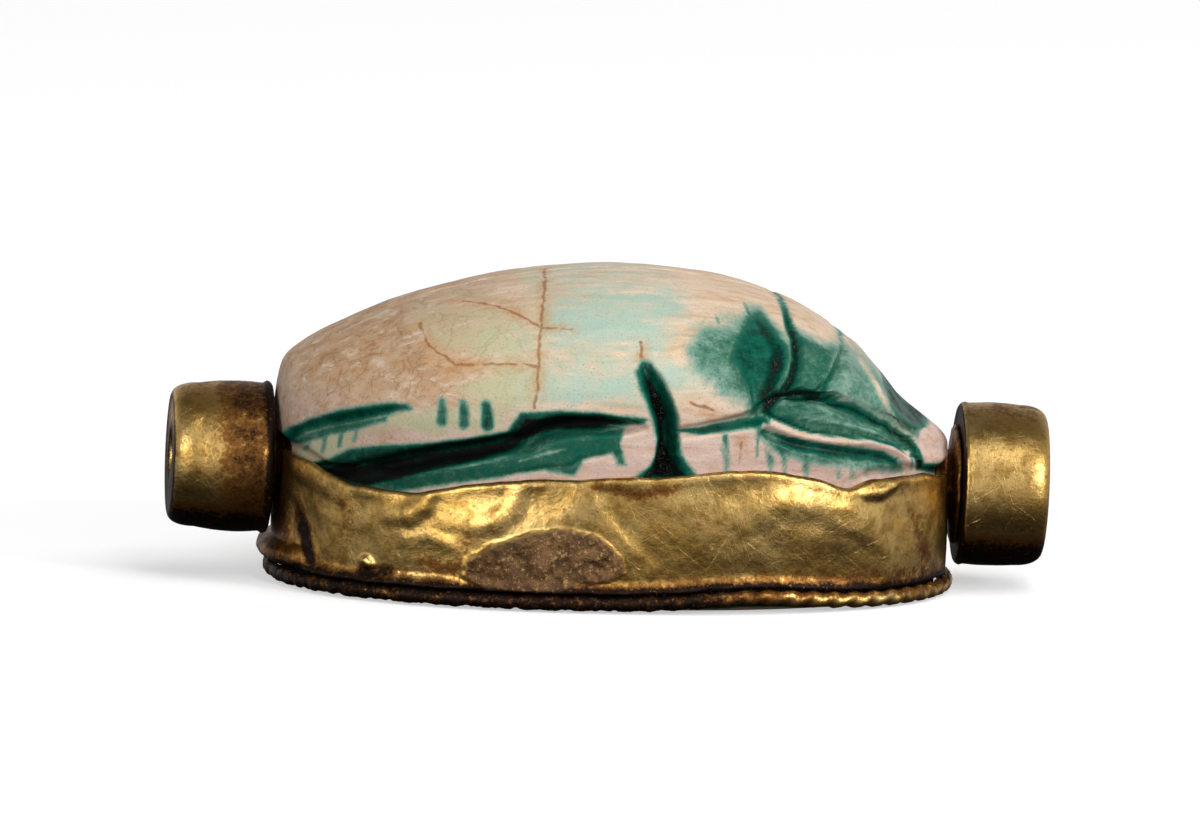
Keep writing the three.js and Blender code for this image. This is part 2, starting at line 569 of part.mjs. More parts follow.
function makeCollars() {
  const line = new THREE.Group();
  line.applyMatrix4(boreLine);
  const tail = makeCollar('tail_collar', TAIL_COLLAR);
  tail.position.x = tailFace - boreMiddle;
  tail.rotation.z = Math.PI / 2;
  const head = makeCollar('head_collar', HEAD_COLLAR);
  head.position.x = headFace - boreMiddle;
  head.rotation.z = -Math.PI / 2;
  line.add(tail, head);
  return line;
}

// The origin is under the middle of the whole length, collars included.
const seal = new THREE.Group();
seal.add(makeScarab(), makeBand(), makeRimWire(), makeCollars());
const tailReach = tailFace - TAIL_COLLAR.length * Math.cos(boreTilt);
const headReach = headFace + HEAD_COLLAR.length * Math.cos(boreTilt);
seal.position.x = -(tailReach + headReach) / 2;

const part = new THREE.Group();
part.add(seal);

export default part;
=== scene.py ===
import json
import math

import bpy
import numpy as np
from mathutils import Matrix, Vector, noise

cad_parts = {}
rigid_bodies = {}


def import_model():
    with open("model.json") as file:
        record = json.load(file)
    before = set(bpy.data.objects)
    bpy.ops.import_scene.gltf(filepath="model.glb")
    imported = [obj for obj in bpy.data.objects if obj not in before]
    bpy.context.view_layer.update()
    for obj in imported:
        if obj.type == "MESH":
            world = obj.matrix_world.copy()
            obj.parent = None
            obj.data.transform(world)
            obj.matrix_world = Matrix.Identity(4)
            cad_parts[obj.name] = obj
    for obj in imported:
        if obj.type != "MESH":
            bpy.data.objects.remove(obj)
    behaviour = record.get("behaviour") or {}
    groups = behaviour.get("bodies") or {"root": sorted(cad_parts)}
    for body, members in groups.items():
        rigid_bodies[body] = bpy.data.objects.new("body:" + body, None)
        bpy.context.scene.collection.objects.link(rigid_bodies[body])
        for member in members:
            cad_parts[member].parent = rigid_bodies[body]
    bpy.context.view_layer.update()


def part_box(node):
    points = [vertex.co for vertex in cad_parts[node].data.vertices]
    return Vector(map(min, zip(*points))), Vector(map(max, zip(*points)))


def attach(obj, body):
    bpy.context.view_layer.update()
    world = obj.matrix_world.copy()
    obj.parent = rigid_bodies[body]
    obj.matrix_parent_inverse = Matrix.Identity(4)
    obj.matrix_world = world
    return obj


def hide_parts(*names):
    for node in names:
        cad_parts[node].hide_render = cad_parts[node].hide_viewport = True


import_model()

MM = 0.001
SEAM_REACH = 1e-7  # metres within which a grid's edges are joined

# The sizes that the CAD model was built from.
HALF_LENGTH = 9.97
HALF_WIDTH = 6.95
HEIGHT = 9.32
FOOT_HALF_LENGTH = 9.6
FOOT_HALF_WIDTH = 6.9
WALL_OFFSET = 0.35  # foot of the stone to the band's outer face
SHEET_THICKNESS = 0.27
BAND_HEIGHT = 4.0
RIM_TOP = 0.53
BAND_FOOT = 0.56
BORE_RADIUS = 0.7
BORE_TILT = 0.02119
BORE_MIDDLE = 0.095
BORE_HEIGHT = 3.255
BORE_REACH = 20.0  # half the cutter's length, past both collars
TAIL_FACE = -10.05
HEAD_FACE = 10.24
JOINT_GAP = 0.03
FOOT_LIFT = 0.2
FOOT_LIFT_ALONG = 0.38
FOOT_LIFT_SPREAD = 0.22

low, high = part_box("scarab")
BEETLE_MIDDLE = (low[0] + high[0]) / 2  # metres; the collars put the beetle a little off the middle

# The beetle's form: shares of the half length along it, and of the height.
PLAN_ROUNDNESS = 2.25
DOME_ROUNDNESS = 2.1
SWELL_RISE = 0.05 * HEIGHT
LEDGE = 0.03
BACK_LINE = [
    (-1, 0.52), (-0.97, 0.692), (-0.92, 0.738), (-0.8, 0.807), (-0.5, 0.923), (-0.27, 0.976), (0, 1),
    (0.26, 0.979), (0.5, 0.909), (0.62, 0.842), (0.73, 0.75), (0.8, 0.672), (0.85, 0.607), (0.91, 0.554),
    (0.97, 0.504), (1, 0.452),
]
SHOULDER_LINE = [
    (-1, 0.504), (-0.8, 0.536), (-0.4, 0.579), (0.2, 0.612), (0.45, 0.665), (0.6, 0.68), (0.77, 0.6),
    (0.85, 0.53), (0.93, 0.47), (1, 0.44),
]
FRONT_LEG_LINE = [
    (-1, 0.65), (0.45, 0.67), (0.6, 0.66), (0.68, 0.622), (0.77, 0.574), (0.83, 0.531), (0.88, 0.478),
    (0.93, 0.44), (1, 0.42),
]
HEAD_NARROWING = [(-1, 1), (0.45, 1), (0.62, 0.97), (0.75, 0.87), (0.85, 0.76), (0.93, 0.68), (1, 0.66)]

# Height of the band's upper edge along each side, as shares of BAND_HEIGHT.
NEAR_EDGE = [
    (-1, 1), (-0.93, 0.96), (-0.88, 0.9), (-0.79, 0.83), (-0.66, 0.825), (-0.55, 0.875), (-0.44, 0.925),
    (-0.21, 0.975), (0.03, 1), (0.38, 1.05), (0.57, 0.975), (0.66, 0.9), (0.75, 0.95), (0.89, 0.95),
    (1, 0.875),
]
FAR_EDGE = [
    (-1, 1), (-0.85, 0.87), (-0.5, 0.93), (-0.1, 0.99), (0.3, 0.96), (0.6, 1.02), (0.85, 0.9), (1, 0.875),
]

# Cuts in the flanks: points of (x, z, half width, depth).
FLANK_CUTS = [
    [  # the gap over the hind leg, under the wing case
        (-8.97, 3.52, 0.19, 0.28), (-7.58, 3.8, 0.34, 0.7), (-6.58, 4.1, 0.39, 0.8),
        (-5.58, 4.4, 0.37, 0.8), (-4.09, 4.7, 0.37, 0.8), (-3.09, 4.95, 0.39, 0.8),
        (-2.59, 5.24, 0.39, 0.8), (-1.89, 5.43, 0.39, 0.8), (-1.0, 5.46, 0.35, 0.75),
        (-0.2, 5.43, 0.28, 0.5), (0.4, 5.41, 0.1, 0.1),
    ],
    [  # the wing case's front corner
        (1.5, 5.3, 0.22, 0.15), (2.39, 5.45, 0.26, 0.25), (3.29, 5.63, 0.28, 0.35), (3.79, 5.82, 0.32, 0.4),
    ],
    [  # under the chest and head, over the thigh
        (3.99, 5.96, 0.37, 0.51), (4.39, 6.23, 0.39, 0.6), (4.99, 6.32, 0.37, 0.6),
        (5.88, 6.2, 0.3, 0.51), (6.58, 5.85, 0.28, 0.42), (7.58, 5.35, 0.28, 0.37),
        (8.18, 4.95, 0.28, 0.37), (8.67, 4.4, 0.26, 0.32), (8.77, 4.1, 0.15, 0.09),
    ],
    [  # the wing case's edge at the tail
        (-9.62, 4.5, 0.2, 0.13), (-8.77, 4.99, 0.26, 0.22), (-7.88, 5.28, 0.26, 0.22),
        (-6.98, 5.56, 0.22, 0.15), (-6.38, 5.78, 0.13, 0.02),
    ],
    [  # the slot between the wing case and the middle leg
        (0.4, 7.2, 0.2, 0.15), (0.6, 6.8, 0.34, 0.5), (0.8, 6.3, 0.38, 0.79), (1.0, 5.7, 0.38, 0.9),
        (1.1, 5.1, 0.37, 0.9), (1.0, 4.6, 0.34, 0.84), (1.05, 4.2, 0.48, 0.89), (1.05, 3.8, 0.79, 0.89),
    ],
    [  # under the shin
        (3.99, 5.3, 0.2, 0.14), (4.99, 4.92, 0.24, 0.2), (6.28, 4.66, 0.25, 0.2), (7.48, 4.4, 0.24, 0.17),
        (7.98, 4.2, 0.16, 0.06),
    ],
    [  # between the chest and the shoulder
        (4.85, 8.45, 0.13, 0.04), (4.82, 8.15, 0.2, 0.2), (4.95, 7.65, 0.24, 0.3), (4.88, 7.1, 0.25, 0.36),
        (4.6, 6.6, 0.26, 0.45),
    ],
    [  # between the head and the chest
        (6.6, 7.42, 0.13, 0.06), (6.28, 7.2, 0.2, 0.19), (5.98, 6.85, 0.22, 0.24), (5.68, 6.5, 0.22, 0.3),
    ],
    [  # the hollow of the shoulder
        (3.85, 8.0, 0.85, 0.13), (3.8, 7.2, 0.75, 0.3), (3.75, 6.4, 0.42, 0.28), (3.75, 5.8, 0.26, 0.25),
    ],
    [(5.5, 7.2, 0.5, 0.11), (5.38, 6.8, 0.5, 0.15)],  # the hollow of the chest
    [  # under the thigh
        (4.02, 5.83, 0.12, 0.07), (4.69, 5.53, 0.13, 0.08), (5.3, 5.27, 0.13, 0.08),
        (6.26, 5.11, 0.11, 0.07), (7.2, 4.99, 0.1, 0.06), (7.87, 4.76, 0.11, 0.06), (8.39, 4.41, 0.1, 0.05),
    ],
    [  # under the hind leg
        (-3.6, 3.9, 0.07, 0.03), (-2.68, 4.15, 0.09, 0.06), (-1.75, 4.25, 0.1, 0.07),
        (-1.52, 4.45, 0.09, 0.06), (-0.91, 4.58, 0.08, 0.05), (-0.4, 4.66, 0.06, 0.03),
    ],
    # three notches in the wing case's edge
    [(-5.5, 6.0, 0.08, 0.0), (-5.5, 5.65, 0.15, 0.07), (-5.5, 5.35, 0.1, 0.03)],
    [(-4.88, 6.02, 0.1, 0.0), (-4.87, 5.65, 0.17, 0.08), (-4.86, 5.37, 0.1, 0.03)],
    [(-4.24, 6.05, 0.12, 0.0), (-4.21, 5.65, 0.18, 0.11), (-4.19, 5.39, 0.12, 0.05)],
    # a scratch beside the slot
    [(0.65, 5.5, 0.05, 0.03), (0.52, 5.0, 0.05, 0.02), (0.5, 4.3, 0.05, 0.03)],
]

# Raised lines of the flanks, in the same terms.
FLANK_RIDGES = [
    [(7.18, 6.9, 0.28, 0.06), (7.4, 6.4, 0.28, 0.14), (7.6, 5.9, 0.26, 0.15), (8.0, 5.4, 0.24, 0.15),
     (8.6, 5.0, 0.22, 0.09)],
    [(3.99, 5.6, 0.16, 0.06), (4.69, 5.2, 0.18, 0.1), (5.98, 4.95, 0.17, 0.1), (7.18, 4.9, 0.17, 0.1),
     (7.98, 4.6, 0.2, 0.11), (8.57, 4.1, 0.22, 0.07)],
    [(-3.2, 4.6, 0.08, 0.05), (-3.0, 5.0, 0.08, 0.12), (-2.83, 5.3, 0.08, 0.12), (-2.48, 5.5, 0.07, 0.06)],
    [(3.0, 7.28, 0.1, 0.04), (3.41, 6.6, 0.1, 0.06), (3.5, 5.94, 0.08, 0.04)],
    [(5.0, 5.78, 0.12, 0.03), (6.26, 5.5, 0.12, 0.05), (7.54, 5.1, 0.1, 0.03)],
]

# Lines cut in the back: points of (x, distance from the middle line, half width, depth).
BACK_CUTS = [
    [(-9.82, 0, 0.16, 0.04), (-5.98, 0, 0.17, 0.05), (2.99, 0, 0.17, 0.05), (4.69, 0, 0.16, 0.04)],
    [(4.74, 0, 0.16, 0.04), (4.74, 1.53, 0.16, 0.05), (4.79, 3.2, 0.16, 0.06)],
    [(6.53, 0, 0.16, 0.05), (6.58, 1.11, 0.16, 0.05), (6.53, 2.22, 0.16, 0.06)],
]

# Short hatched strokes under the shin: x at the top and the bottom, and how wide each is.
HATCHES = [
    (2.66, 2.82, 0.26), (3.94, 4.12, 0.25), (4.36, 4.53, 0.22), (5.02, 5.19, 0.28), (6.0, 6.18, 0.26),
    (6.4, 6.59, 0.23), (6.9, 7.05, 0.25), (7.39, 7.54, 0.22), (7.87, 8.03, 0.24), (8.38, 8.51, 0.22),
]
HATCH_TOP = 4.95
HATCH_FOOT = 4.0
HATCH_GLAZE = 0.48

# Glaze left on the flanks. A level of 0.3 is a pale green film, 0.5 is teal, 0.75 is deep green and 1
# is nearly black: thick glaze, with painted shade in the depths of the cuts. Each area is its level,
# the width of its soft edge and its outline as (x, z).
GLAZE_AREAS = [
    (0.46, 1.0, [  # beside the shoulder pool
        (1.6, 7.72), (1.99, 8.14), (2.73, 8.37), (3.49, 8.43), (4.22, 8.03), (4.3, 7.2), (4.05, 6.21),
        (3.64, 5.76), (3.1, 6.14), (2.46, 6.52), (1.78, 7.07),
    ]),
    (0.7, 0.7, [  # the shoulder pool
        (3.48, 8.38), (3.77, 8.51), (4.13, 8.29), (4.59, 7.88), (4.66, 7.48), (4.55, 6.82), (4.25, 6.32),
        (3.98, 6.0), (3.8, 5.6), (3.47, 5.7), (3.3, 6.3), (3.05, 6.81), (2.73, 7.28), (2.97, 7.89),
    ]),
    (0.56, 0.45, [  # the chest
        (4.76, 8.44), (4.88, 8.07), (5.37, 7.82), (5.85, 7.63), (6.53, 7.47), (6.16, 7.24), (5.89, 6.89),
        (5.71, 6.3), (5.04, 6.3), (4.57, 6.37), (4.8, 6.96), (4.93, 7.6),
    ]),
    (0.4, 0.5, [  # the head
        (6.33, 7.6), (7.01, 7.2), (7.56, 6.75), (8.16, 6.05), (8.9, 5.5), (9.25, 4.88), (8.83, 4.58),
        (8.39, 4.87), (7.88, 5.15), (7.22, 5.56), (6.57, 5.89), (5.8, 6.21), (5.64, 6.48), (5.93, 6.93),
    ]),
    (0.78, 0.45, [  # the slope of the brow
        (7.7, 6.3), (8.05, 6.6), (9.0, 5.75), (9.6, 5.05), (9.3, 4.95), (8.98, 4.82), (8.44, 5.02),
        (8.05, 5.4), (7.8, 5.8),
    ]),
    (0.58, 0.24, [  # the hind leg
        (-7.41, 3.14), (-7.41, 3.42), (-6.64, 3.64), (-5.53, 3.99), (-4.39, 4.27), (-3.22, 4.65),
        (-2.96, 5.01), (-2.09, 5.3), (-0.96, 5.32), (-0.17, 5.37), (-0.3, 4.95), (-0.13, 4.31),
        (-0.39, 4.33), (-0.57, 4.66), (-1.0, 4.56), (-1.39, 4.44), (-1.64, 3.96), (-2.5, 4.1),
        (-3.23, 3.99), (-3.8, 3.83), (-5.22, 3.56), (-6.64, 3.22),
    ]),
    (0.8, 0.26, [  # the gap over the hind leg
        (-9.36, 3.6), (-8.95, 3.72), (-8.05, 4.36), (-7.23, 4.55), (-5.84, 4.75), (-4.69, 4.98),
        (-3.6, 5.23), (-3.25, 5.79), (-2.13, 5.87), (-0.96, 5.85), (0.45, 5.68), (0.22, 5.52),
        (-0.96, 5.22), (-2.09, 5.2), (-2.74, 4.92), (-3.22, 4.58), (-4.39, 4.24), (-5.52, 3.92),
        (-6.64, 3.55), (-7.61, 3.2), (-8.28, 3.3), (-9.02, 3.4),
    ]),
    (1.0, 0.3, [  # its depth, painted near black as shade
        (-8.9, 3.5), (-8.17, 3.86), (-7.21, 4.02), (-6.12, 4.34), (-5.25, 4.5), (-3.81, 4.84),
        (-3.45, 5.05), (-3.15, 5.68), (-2.09, 5.78), (-0.96, 5.72), (0.36, 5.6), (-0.96, 5.24),
        (-2.09, 5.2), (-2.83, 4.96), (-3.3, 4.6), (-4.37, 4.27), (-5.54, 3.96), (-6.64, 3.58),
        (-7.53, 3.25), (-8.28, 3.33),
    ]),
    (0.73, 0.3, [  # under the wing case's edge at the tail
        (-9.75, 3.83), (-9.8, 4.45), (-9.16, 5.03), (-8.36, 5.44), (-7.55, 5.7), (-6.86, 5.85),
        (-6.47, 5.84), (-6.32, 5.69), (-6.69, 5.59), (-7.25, 5.34), (-7.81, 5.12), (-8.62, 4.84),
        (-9.15, 4.59), (-9.5, 4.2), (-9.54, 3.83),
    ]),
    (0.74, 0.3, [  # the slot beside the middle leg
        (0.08, 7.01), (0.31, 7.32), (0.56, 7.24), (0.87, 6.82), (1.16, 6.27), (1.35, 5.71), (1.39, 5.09),
        (1.48, 4.67), (1.73, 4.31), (2.15, 3.85), (-0.05, 3.85), (0.43, 4.18), (0.7, 4.58), (0.74, 5.11),
        (0.61, 5.56), (0.43, 6.08), (0.21, 6.57),
    ]),
    (0.98, 0.34, [  # its depth, painted near black as shade
        (0.28, 6.84), (0.45, 7.03), (0.71, 6.67), (0.95, 6.21), (1.12, 5.71), (1.0, 5.34), (1.08, 4.97),
        (1.2, 4.61), (1.6, 4.16), (1.85, 3.85), (0.12, 3.85), (0.56, 4.27), (0.78, 4.75), (0.78, 5.17),
        (0.7, 5.59), (0.52, 6.1),
    ]),
    (0.5, 0.24, [  # the thigh
        (4.31, 6.12), (5.01, 6.16), (5.93, 5.92), (7.22, 5.47), (8.22, 4.86), (8.71, 4.22), (8.37, 4.36),
        (7.87, 4.69), (7.23, 4.93), (6.26, 5.06), (5.3, 5.24), (4.69, 5.5), (4.02, 5.79),
    ]),
    (0.76, 0.3, [  # under the shin
        (4.03, 5.38), (4.69, 5.17), (5.34, 4.99), (6.26, 4.82), (7.55, 4.61), (7.99, 4.31), (8.13, 4.07),
        (7.54, 4.22), (6.59, 4.37), (5.5, 4.57), (4.86, 4.69), (4.36, 4.91),
    ]),
]

# Thinner strokes of glaze: points of (x, z, half width, level).
GLAZE_STROKES = [
    [(-9.45, 4.3, 0.22, 0.6), (-8.6, 4.8, 0.2, 0.55), (-7.8, 5.08, 0.2, 0.55), (-7.1, 5.34, 0.16, 0.48)],
    [(-5.5, 5.98, 0.22, 0.46), (-5.5, 5.38, 0.26, 0.62)],
    [(-4.88, 5.98, 0.24, 0.5), (-4.86, 5.38, 0.28, 0.7)],
    [(-4.24, 5.96, 0.26, 0.6), (-4.19, 5.38, 0.3, 0.86)],
    [(-9.2, 4.05, 0.13, 0.42), (-9.1, 4.5, 0.13, 0.42)],
    [(-8.78, 4.15, 0.12, 0.4), (-8.7, 4.7, 0.12, 0.42)],
    [(-8.33, 4.4, 0.12, 0.4), (-8.25, 4.9, 0.12, 0.4)],
    [(-7.93, 4.6, 0.11, 0.36), (-7.85, 5.0, 0.11, 0.36)],
    [(1.4, 5.36, 0.12, 0.6), (2.0, 5.33, 0.17, 0.78), (2.57, 5.43, 0.22, 0.74), (3.3, 5.55, 0.26, 0.72),
     (3.9, 5.6, 0.3, 0.74)],
    [(2.74, 5.2, 0.15, 0.5), (2.87, 4.52, 0.12, 0.38)],
    [(3.7, 5.5, 0.12, 0.5), (3.72, 4.6, 0.1, 0.36)],
    [(3.9, 8.2, 0.5, 0.76), (4.35, 7.5, 0.62, 0.88), (4.15, 6.9, 0.6, 0.85), (3.85, 6.3, 0.45, 0.86)],
    [(2.62, 8.36, 0.1, 0.5), (2.66, 8.26, 0.09, 0.44)],
    [(3.55, 8.62, 0.08, 0.4), (3.7, 8.3, 0.2, 0.6)],
    [(4.84, 8.56, 0.18, 0.6), (4.8, 8.19, 0.22, 0.82), (4.93, 7.75, 0.23, 0.88), (4.9, 7.27, 0.25, 0.88),
     (4.72, 6.75, 0.27, 0.9), (4.42, 6.35, 0.32, 0.96), (4.1, 6.15, 0.4, 1.0), (3.98, 5.92, 0.3, 0.98)],
    [(4.2, 6.34, 0.3, 0.96), (5.16, 6.38, 0.28, 0.92), (6.0, 6.2, 0.2, 0.86)],
    [(6.67, 7.5, 0.1, 0.5), (6.33, 7.3, 0.18, 0.68), (6.08, 7.0, 0.2, 0.72), (5.8, 6.68, 0.2, 0.72),
     (5.64, 6.4, 0.2, 0.76)],
    [(8.9, 3.9, 0.2, 0.85), (9.3, 3.75, 0.26, 0.9), (9.7, 3.6, 0.3, 0.92)],
    [(4.6, 6.3, 0.24, 0.96), (5.6, 6.13, 0.22, 0.9), (6.57, 5.77, 0.22, 0.9), (7.22, 5.44, 0.22, 0.9),
     (7.88, 5.05, 0.22, 0.9), (8.4, 4.7, 0.23, 0.9), (8.71, 4.36, 0.22, 0.94), (8.82, 3.95, 0.22, 0.94)],
    [(4.0, 5.83, 0.13, 0.9), (4.69, 5.53, 0.13, 0.84), (5.3, 5.27, 0.13, 0.82), (6.26, 5.1, 0.11, 0.78),
     (7.2, 4.98, 0.1, 0.74), (7.87, 4.75, 0.11, 0.78), (8.39, 4.41, 0.12, 0.8)],
    [(3.9, 5.3, 0.35, 0.62), (4.5, 4.8, 0.4, 0.5), (5.6, 4.5, 0.4, 0.46), (7.0, 4.3, 0.4, 0.46),
     (8.1, 4.05, 0.4, 0.44)],
]

# The washed-out mint film on the back and wing cases: areas like those of the glaze.
MINT_AREAS = [
    (0.66, 2.0, [(-5.9, 7.96), (-4.56, 8.3), (-2.6, 8.36), (-2.65, 7.2), (-3.84, 7.05), (-5.1, 7.1),
                 (-5.8, 7.44)]),
    (1.0, 2.4, [(-2.5, 8.75), (-1.87, 8.96), (-0.13, 9.05), (1.2, 8.85), (1.6, 8.3), (0.9, 7.4),
                (-0.93, 7.35), (-2.08, 7.5), (-2.7, 7.86)]),
    (0.95, 1.5, [(-5.1, 6.5), (-3.86, 6.95), (-2.11, 7.25), (0.3, 7.15), (0.3, 6.1), (-2.08, 5.85),
                 (-3.87, 5.9), (-4.8, 6.0)]),
    (0.8, 1.8, [(-2.0, 7.6), (0.6, 7.6), (2.0, 7.3), (2.4, 6.7), (0.9, 6.3), (-2.0, 6.4)]),
    (0.8, 0.5, [(-9.42, 3.78), (-9.15, 4.49), (-8.07, 4.96), (-6.69, 5.59), (-3.85, 6.04), (-3.64, 5.28),
                (-4.69, 5.06), (-6.11, 5.01), (-6.83, 5.14), (-7.93, 4.58), (-8.31, 4.05), (-9.02, 3.69)]),
]

# Places worn through to the stone again, where the film is rubbed off a crest.
GLAZE_WORN = [
    [(3.0, 7.28, 0.08, 0.1), (3.41, 6.6, 0.09, 0.14), (3.5, 5.94, 0.08, 0.1)],
    [(3.9, 5.5, 0.13, 0.7), (4.69, 5.26, 0.13, 0.8), (5.92, 5.05, 0.11, 0.8), (7.1, 4.88, 0.11, 0.8),
     (7.9, 4.6, 0.13, 0.8), (8.36, 4.3, 0.16, 0.7), (8.3, 4.1, 0.14, 0.5)],
    [(7.0, 7.0, 0.1, 0.16), (7.35, 6.53, 0.12, 0.26), (7.61, 6.03, 0.12, 0.26), (7.85, 5.6, 0.1, 0.1)],
    [(9.05, 4.7, 0.26, 0.7), (9.3, 4.5, 0.36, 1.0), (9.6, 4.5, 0.36, 1.0)],
    [(5.0, 5.76, 0.08, 0.12), (6.26, 5.5, 0.09, 0.14), (7.54, 5.12, 0.07, 0.12)],
    [(-3.24, 4.36, 0.07, 0.2), (-2.53, 4.6, 0.08, 0.2), (-1.92, 4.76, 0.06, 0.2)],
    [(-0.2, 4.95, 0.2, 0.3), (0.3, 5.1, 0.22, 0.3), (0.42, 4.4, 0.25, 0.3)],
]

# Cracks and brown veins in the stone of the near flank and the back: points of (x, y, z).
CRACKS = [
    [(-2.1, 0.3, 9.17), (-2.2, -1.5, 9.08), (-2.4, -3.4, 8.7), (-2.5, -4.2, 8.4), (-2.6, -5.0, 8.0),
     (-2.65, -5.5, 7.66), (-2.7, -6.0, 7.22), (-2.75, -6.35, 6.8), (-2.8, -6.6, 6.38), (-2.85, -6.7, 5.95)],
    [(-6.0, -3.0, 7.9), (-5.8, -4.4, 7.4), (-5.1, -5.4, 7.0), (-2.8, -6.1, 7.1)],
    [(-4.9, -2.0, 8.5), (-3.7, -3.3, 8.5), (-2.6, -4.9, 8.1), (-1.7, -5.1, 8.1)],
    [(0.29, -5.7, 7.8), (0.28, -6.4, 7.15)],
    [(1.68, -6.83, 6.17), (2.34, -6.8, 5.96)],
    [(3.22, -6.7, 4.96), (3.23, -6.68, 4.2)],
    [(6.26, -5.55, 5.15), (6.33, -5.5, 4.7)],
]

# Dents and bulges of the band: (x, z, length, height, how far out), near side and far side.
NEAR_DENTS = [
    (-8.93, 1.4, 0.5, 1.7, -0.22), (-6.6, 3.3, 0.7, 0.5, -0.07), (-4.5, 3.3, 0.7, 0.5, -0.07),
    (-5.2, 2.1, 0.8, 0.7, -0.05), (-1.44, 3.2, 0.9, 0.7, 0.07), (-2.4, 1.4, 2.3, 1.2, 0.1),
    (2.1, 1.5, 1.6, 1.1, -0.06), (1.2, 3.1, 1.2, 0.7, 0.05), (4.6, 3.2, 1.3, 0.8, 0.1),
    (6.4, 2.6, 0.9, 0.9, 0.09), (7.49, 1.5, 0.5, 1.4, 0.08), (7.9, 2.6, 0.5, 0.9, -0.05),
    (0.3, 2.7, 1.0, 0.8, -0.05), (-7.6, 2.0, 0.8, 1.0, -0.05), (5.4, 1.3, 1.0, 0.8, -0.05),
]
FAR_DENTS = [
    (-7.68, 2.0, 1.2, 1.2, 0.12), (-4.3, 2.8, 1.6, 0.9, 0.16), (-1.0, 1.6, 1.5, 1.2, -0.08),
    (2.9, 2.9, 1.8, 0.8, 0.15), (6.7, 1.8, 1.1, 1.3, 0.1), (-2.4, 3.2, 0.5, 0.6, -0.06),
    (5.2, 1.3, 0.9, 0.7, -0.06),
]

# Creases and small ridges of the near side: points of (x, z, half width, how far out).
NEAR_CREASES = [
    [(-9.76, 3.9, 0.3, 0.04), (-9.15, 3.5, 0.4, 0.07), (-8.07, 3.0, 0.4, 0.05)],
    [(-6.7, 2.6, 0.4, 0.05), (-6.2, 2.66, 0.45, 0.09), (-5.8, 2.95, 0.45, 0.1), (-5.62, 3.35, 0.35, 0.06)],
    [(-4.4, 2.45, 0.45, 0.05), (-3.8, 2.6, 0.5, 0.08), (-3.4, 2.95, 0.5, 0.1), (-3.2, 3.4, 0.4, 0.06)],
    [(-6.2, 1.9, 0.4, 0.03), (-5.6, 2.0, 0.4, 0.05), (-5.0, 1.85, 0.3, 0.03)],
    [(3.3, 2.7, 0.6, 0.03), (4.3, 3.3, 0.7, 0.07), (5.6, 3.2, 0.7, 0.07), (6.7, 2.6, 0.6, 0.06),
     (7.4, 1.7, 0.4, 0.05), (7.5, 0.9, 0.3, 0.04)],
    [(6.8, 3.4, 0.25, 0.07), (7.25, 3.42, 0.3, 0.14), (7.62, 3.58, 0.24, 0.14), (7.75, 3.78, 0.16, 0.08)],
    [(-9.74, 2.75, 0.18, 0.06), (-9.86, 1.5, 0.2, 0.1), (-9.93, 0.6, 0.2, 0.08)],
    [(-7.34, 1.16, 0.22, 0.16), (-7.26, 1.06, 0.22, 0.13)],
    [(8.9, 1.0, 0.4, 0.04), (9.2, 2.2, 0.4, 0.07), (9.3, 3.2, 0.35, 0.04)],
]
NEAR_VALLEYS = [
    [(-9.4, 2.6, 0.25, 0.1), (-9.2, 1.8, 0.34, 0.22), (-9.05, 1.0, 0.34, 0.22), (-8.85, 0.5, 0.25, 0.1)],
    [(-0.9, 3.6, 0.35, 0.02), (-0.5, 3.0, 0.35, 0.035), (0.1, 2.3, 0.35, 0.035), (0.8, 1.6, 0.3, 0.02)],
]

# Brown stains on the near side of the band: points of (x, z, half width, level).
NEAR_STAINS = [
    [(-6.9, 0.9, 0.5, 0.75), (-7.6, 0.8, 0.5, 0.75)],
    [(3.5, 0.9, 0.5, 0.5), (6.0, 0.8, 0.4, 0.6)],
    [(-1.0, 3.75, 0.4, 0.5), (0.2, 3.5, 0.45, 0.6), (1.4, 3.7, 0.4, 0.45)],
    [(-8.9, 3.2, 0.4, 0.3), (-8.0, 2.6, 0.5, 0.4), (-8.1, 1.6, 0.5, 0.3)],
    [(-5.9, 1.3, 0.6, 0.45), (-5.1, 1.1, 0.6, 0.5), (-4.6, 2.1, 0.4, 0.35)],
    [(8.6, 2.6, 0.5, 0.4), (8.9, 1.6, 0.6, 0.5), (9.3, 0.9, 0.5, 0.5)],
]

# The rough solder patch on the near side: its outline as (x, z).
CRUST = [
    (-4.7, 1.39), (-4.07, 1.87), (-2.92, 2.3), (-1.91, 2.5), (-0.88, 2.27), (-0.2, 1.65), (-0.11, 1.2),
    (-0.55, 0.92), (-1.42, 0.85), (-2.0, 0.62), (-3.16, 0.58), (-4.33, 0.7), (-4.77, 0.95),
]


def smooth_curve(points):
    """A smooth curve through (position, value) points, with no overshoot between them."""
    places, values = np.array(points, float).T
    gaps = np.diff(places)
    slopes = np.diff(values) / gaps
    tangents = np.concatenate([slopes[:1], np.zeros(len(places) - 2), slopes[-1:]])
    for i in range(1, len(places) - 1):
        before, after = slopes[i - 1], slopes[i]
        if before * after > 0:
            w1 = 2 * gaps[i] + gaps[i - 1]
            w2 = gaps[i] + 2 * gaps[i - 1]
            tangents[i] = (w1 + w2) / (w1 / before + w2 / after)

    def curve(position):
        p = np.clip(position, places[0], places[-1])
        i = np.clip(np.searchsorted(places, p, side="right") - 1, 0, len(gaps) - 1)
        t = (p - places[i]) / gaps[i]
        rise = (t**3 - 2 * t**2 + t) * tangents[i] + (t**3 - t**2) * tangents[i + 1]
        ahead = 3 * t**2 - 2 * t**3
        return values[i] * (1 - ahead) + values[i + 1] * ahead + rise * gaps[i]

    return curve


def smooth_step(t):
    """0 up to t = 0 and 1 from t = 1, with a smooth rise between."""
    c = np.clip(t, 0, 1)
    return c * c * (3 - 2 * c)


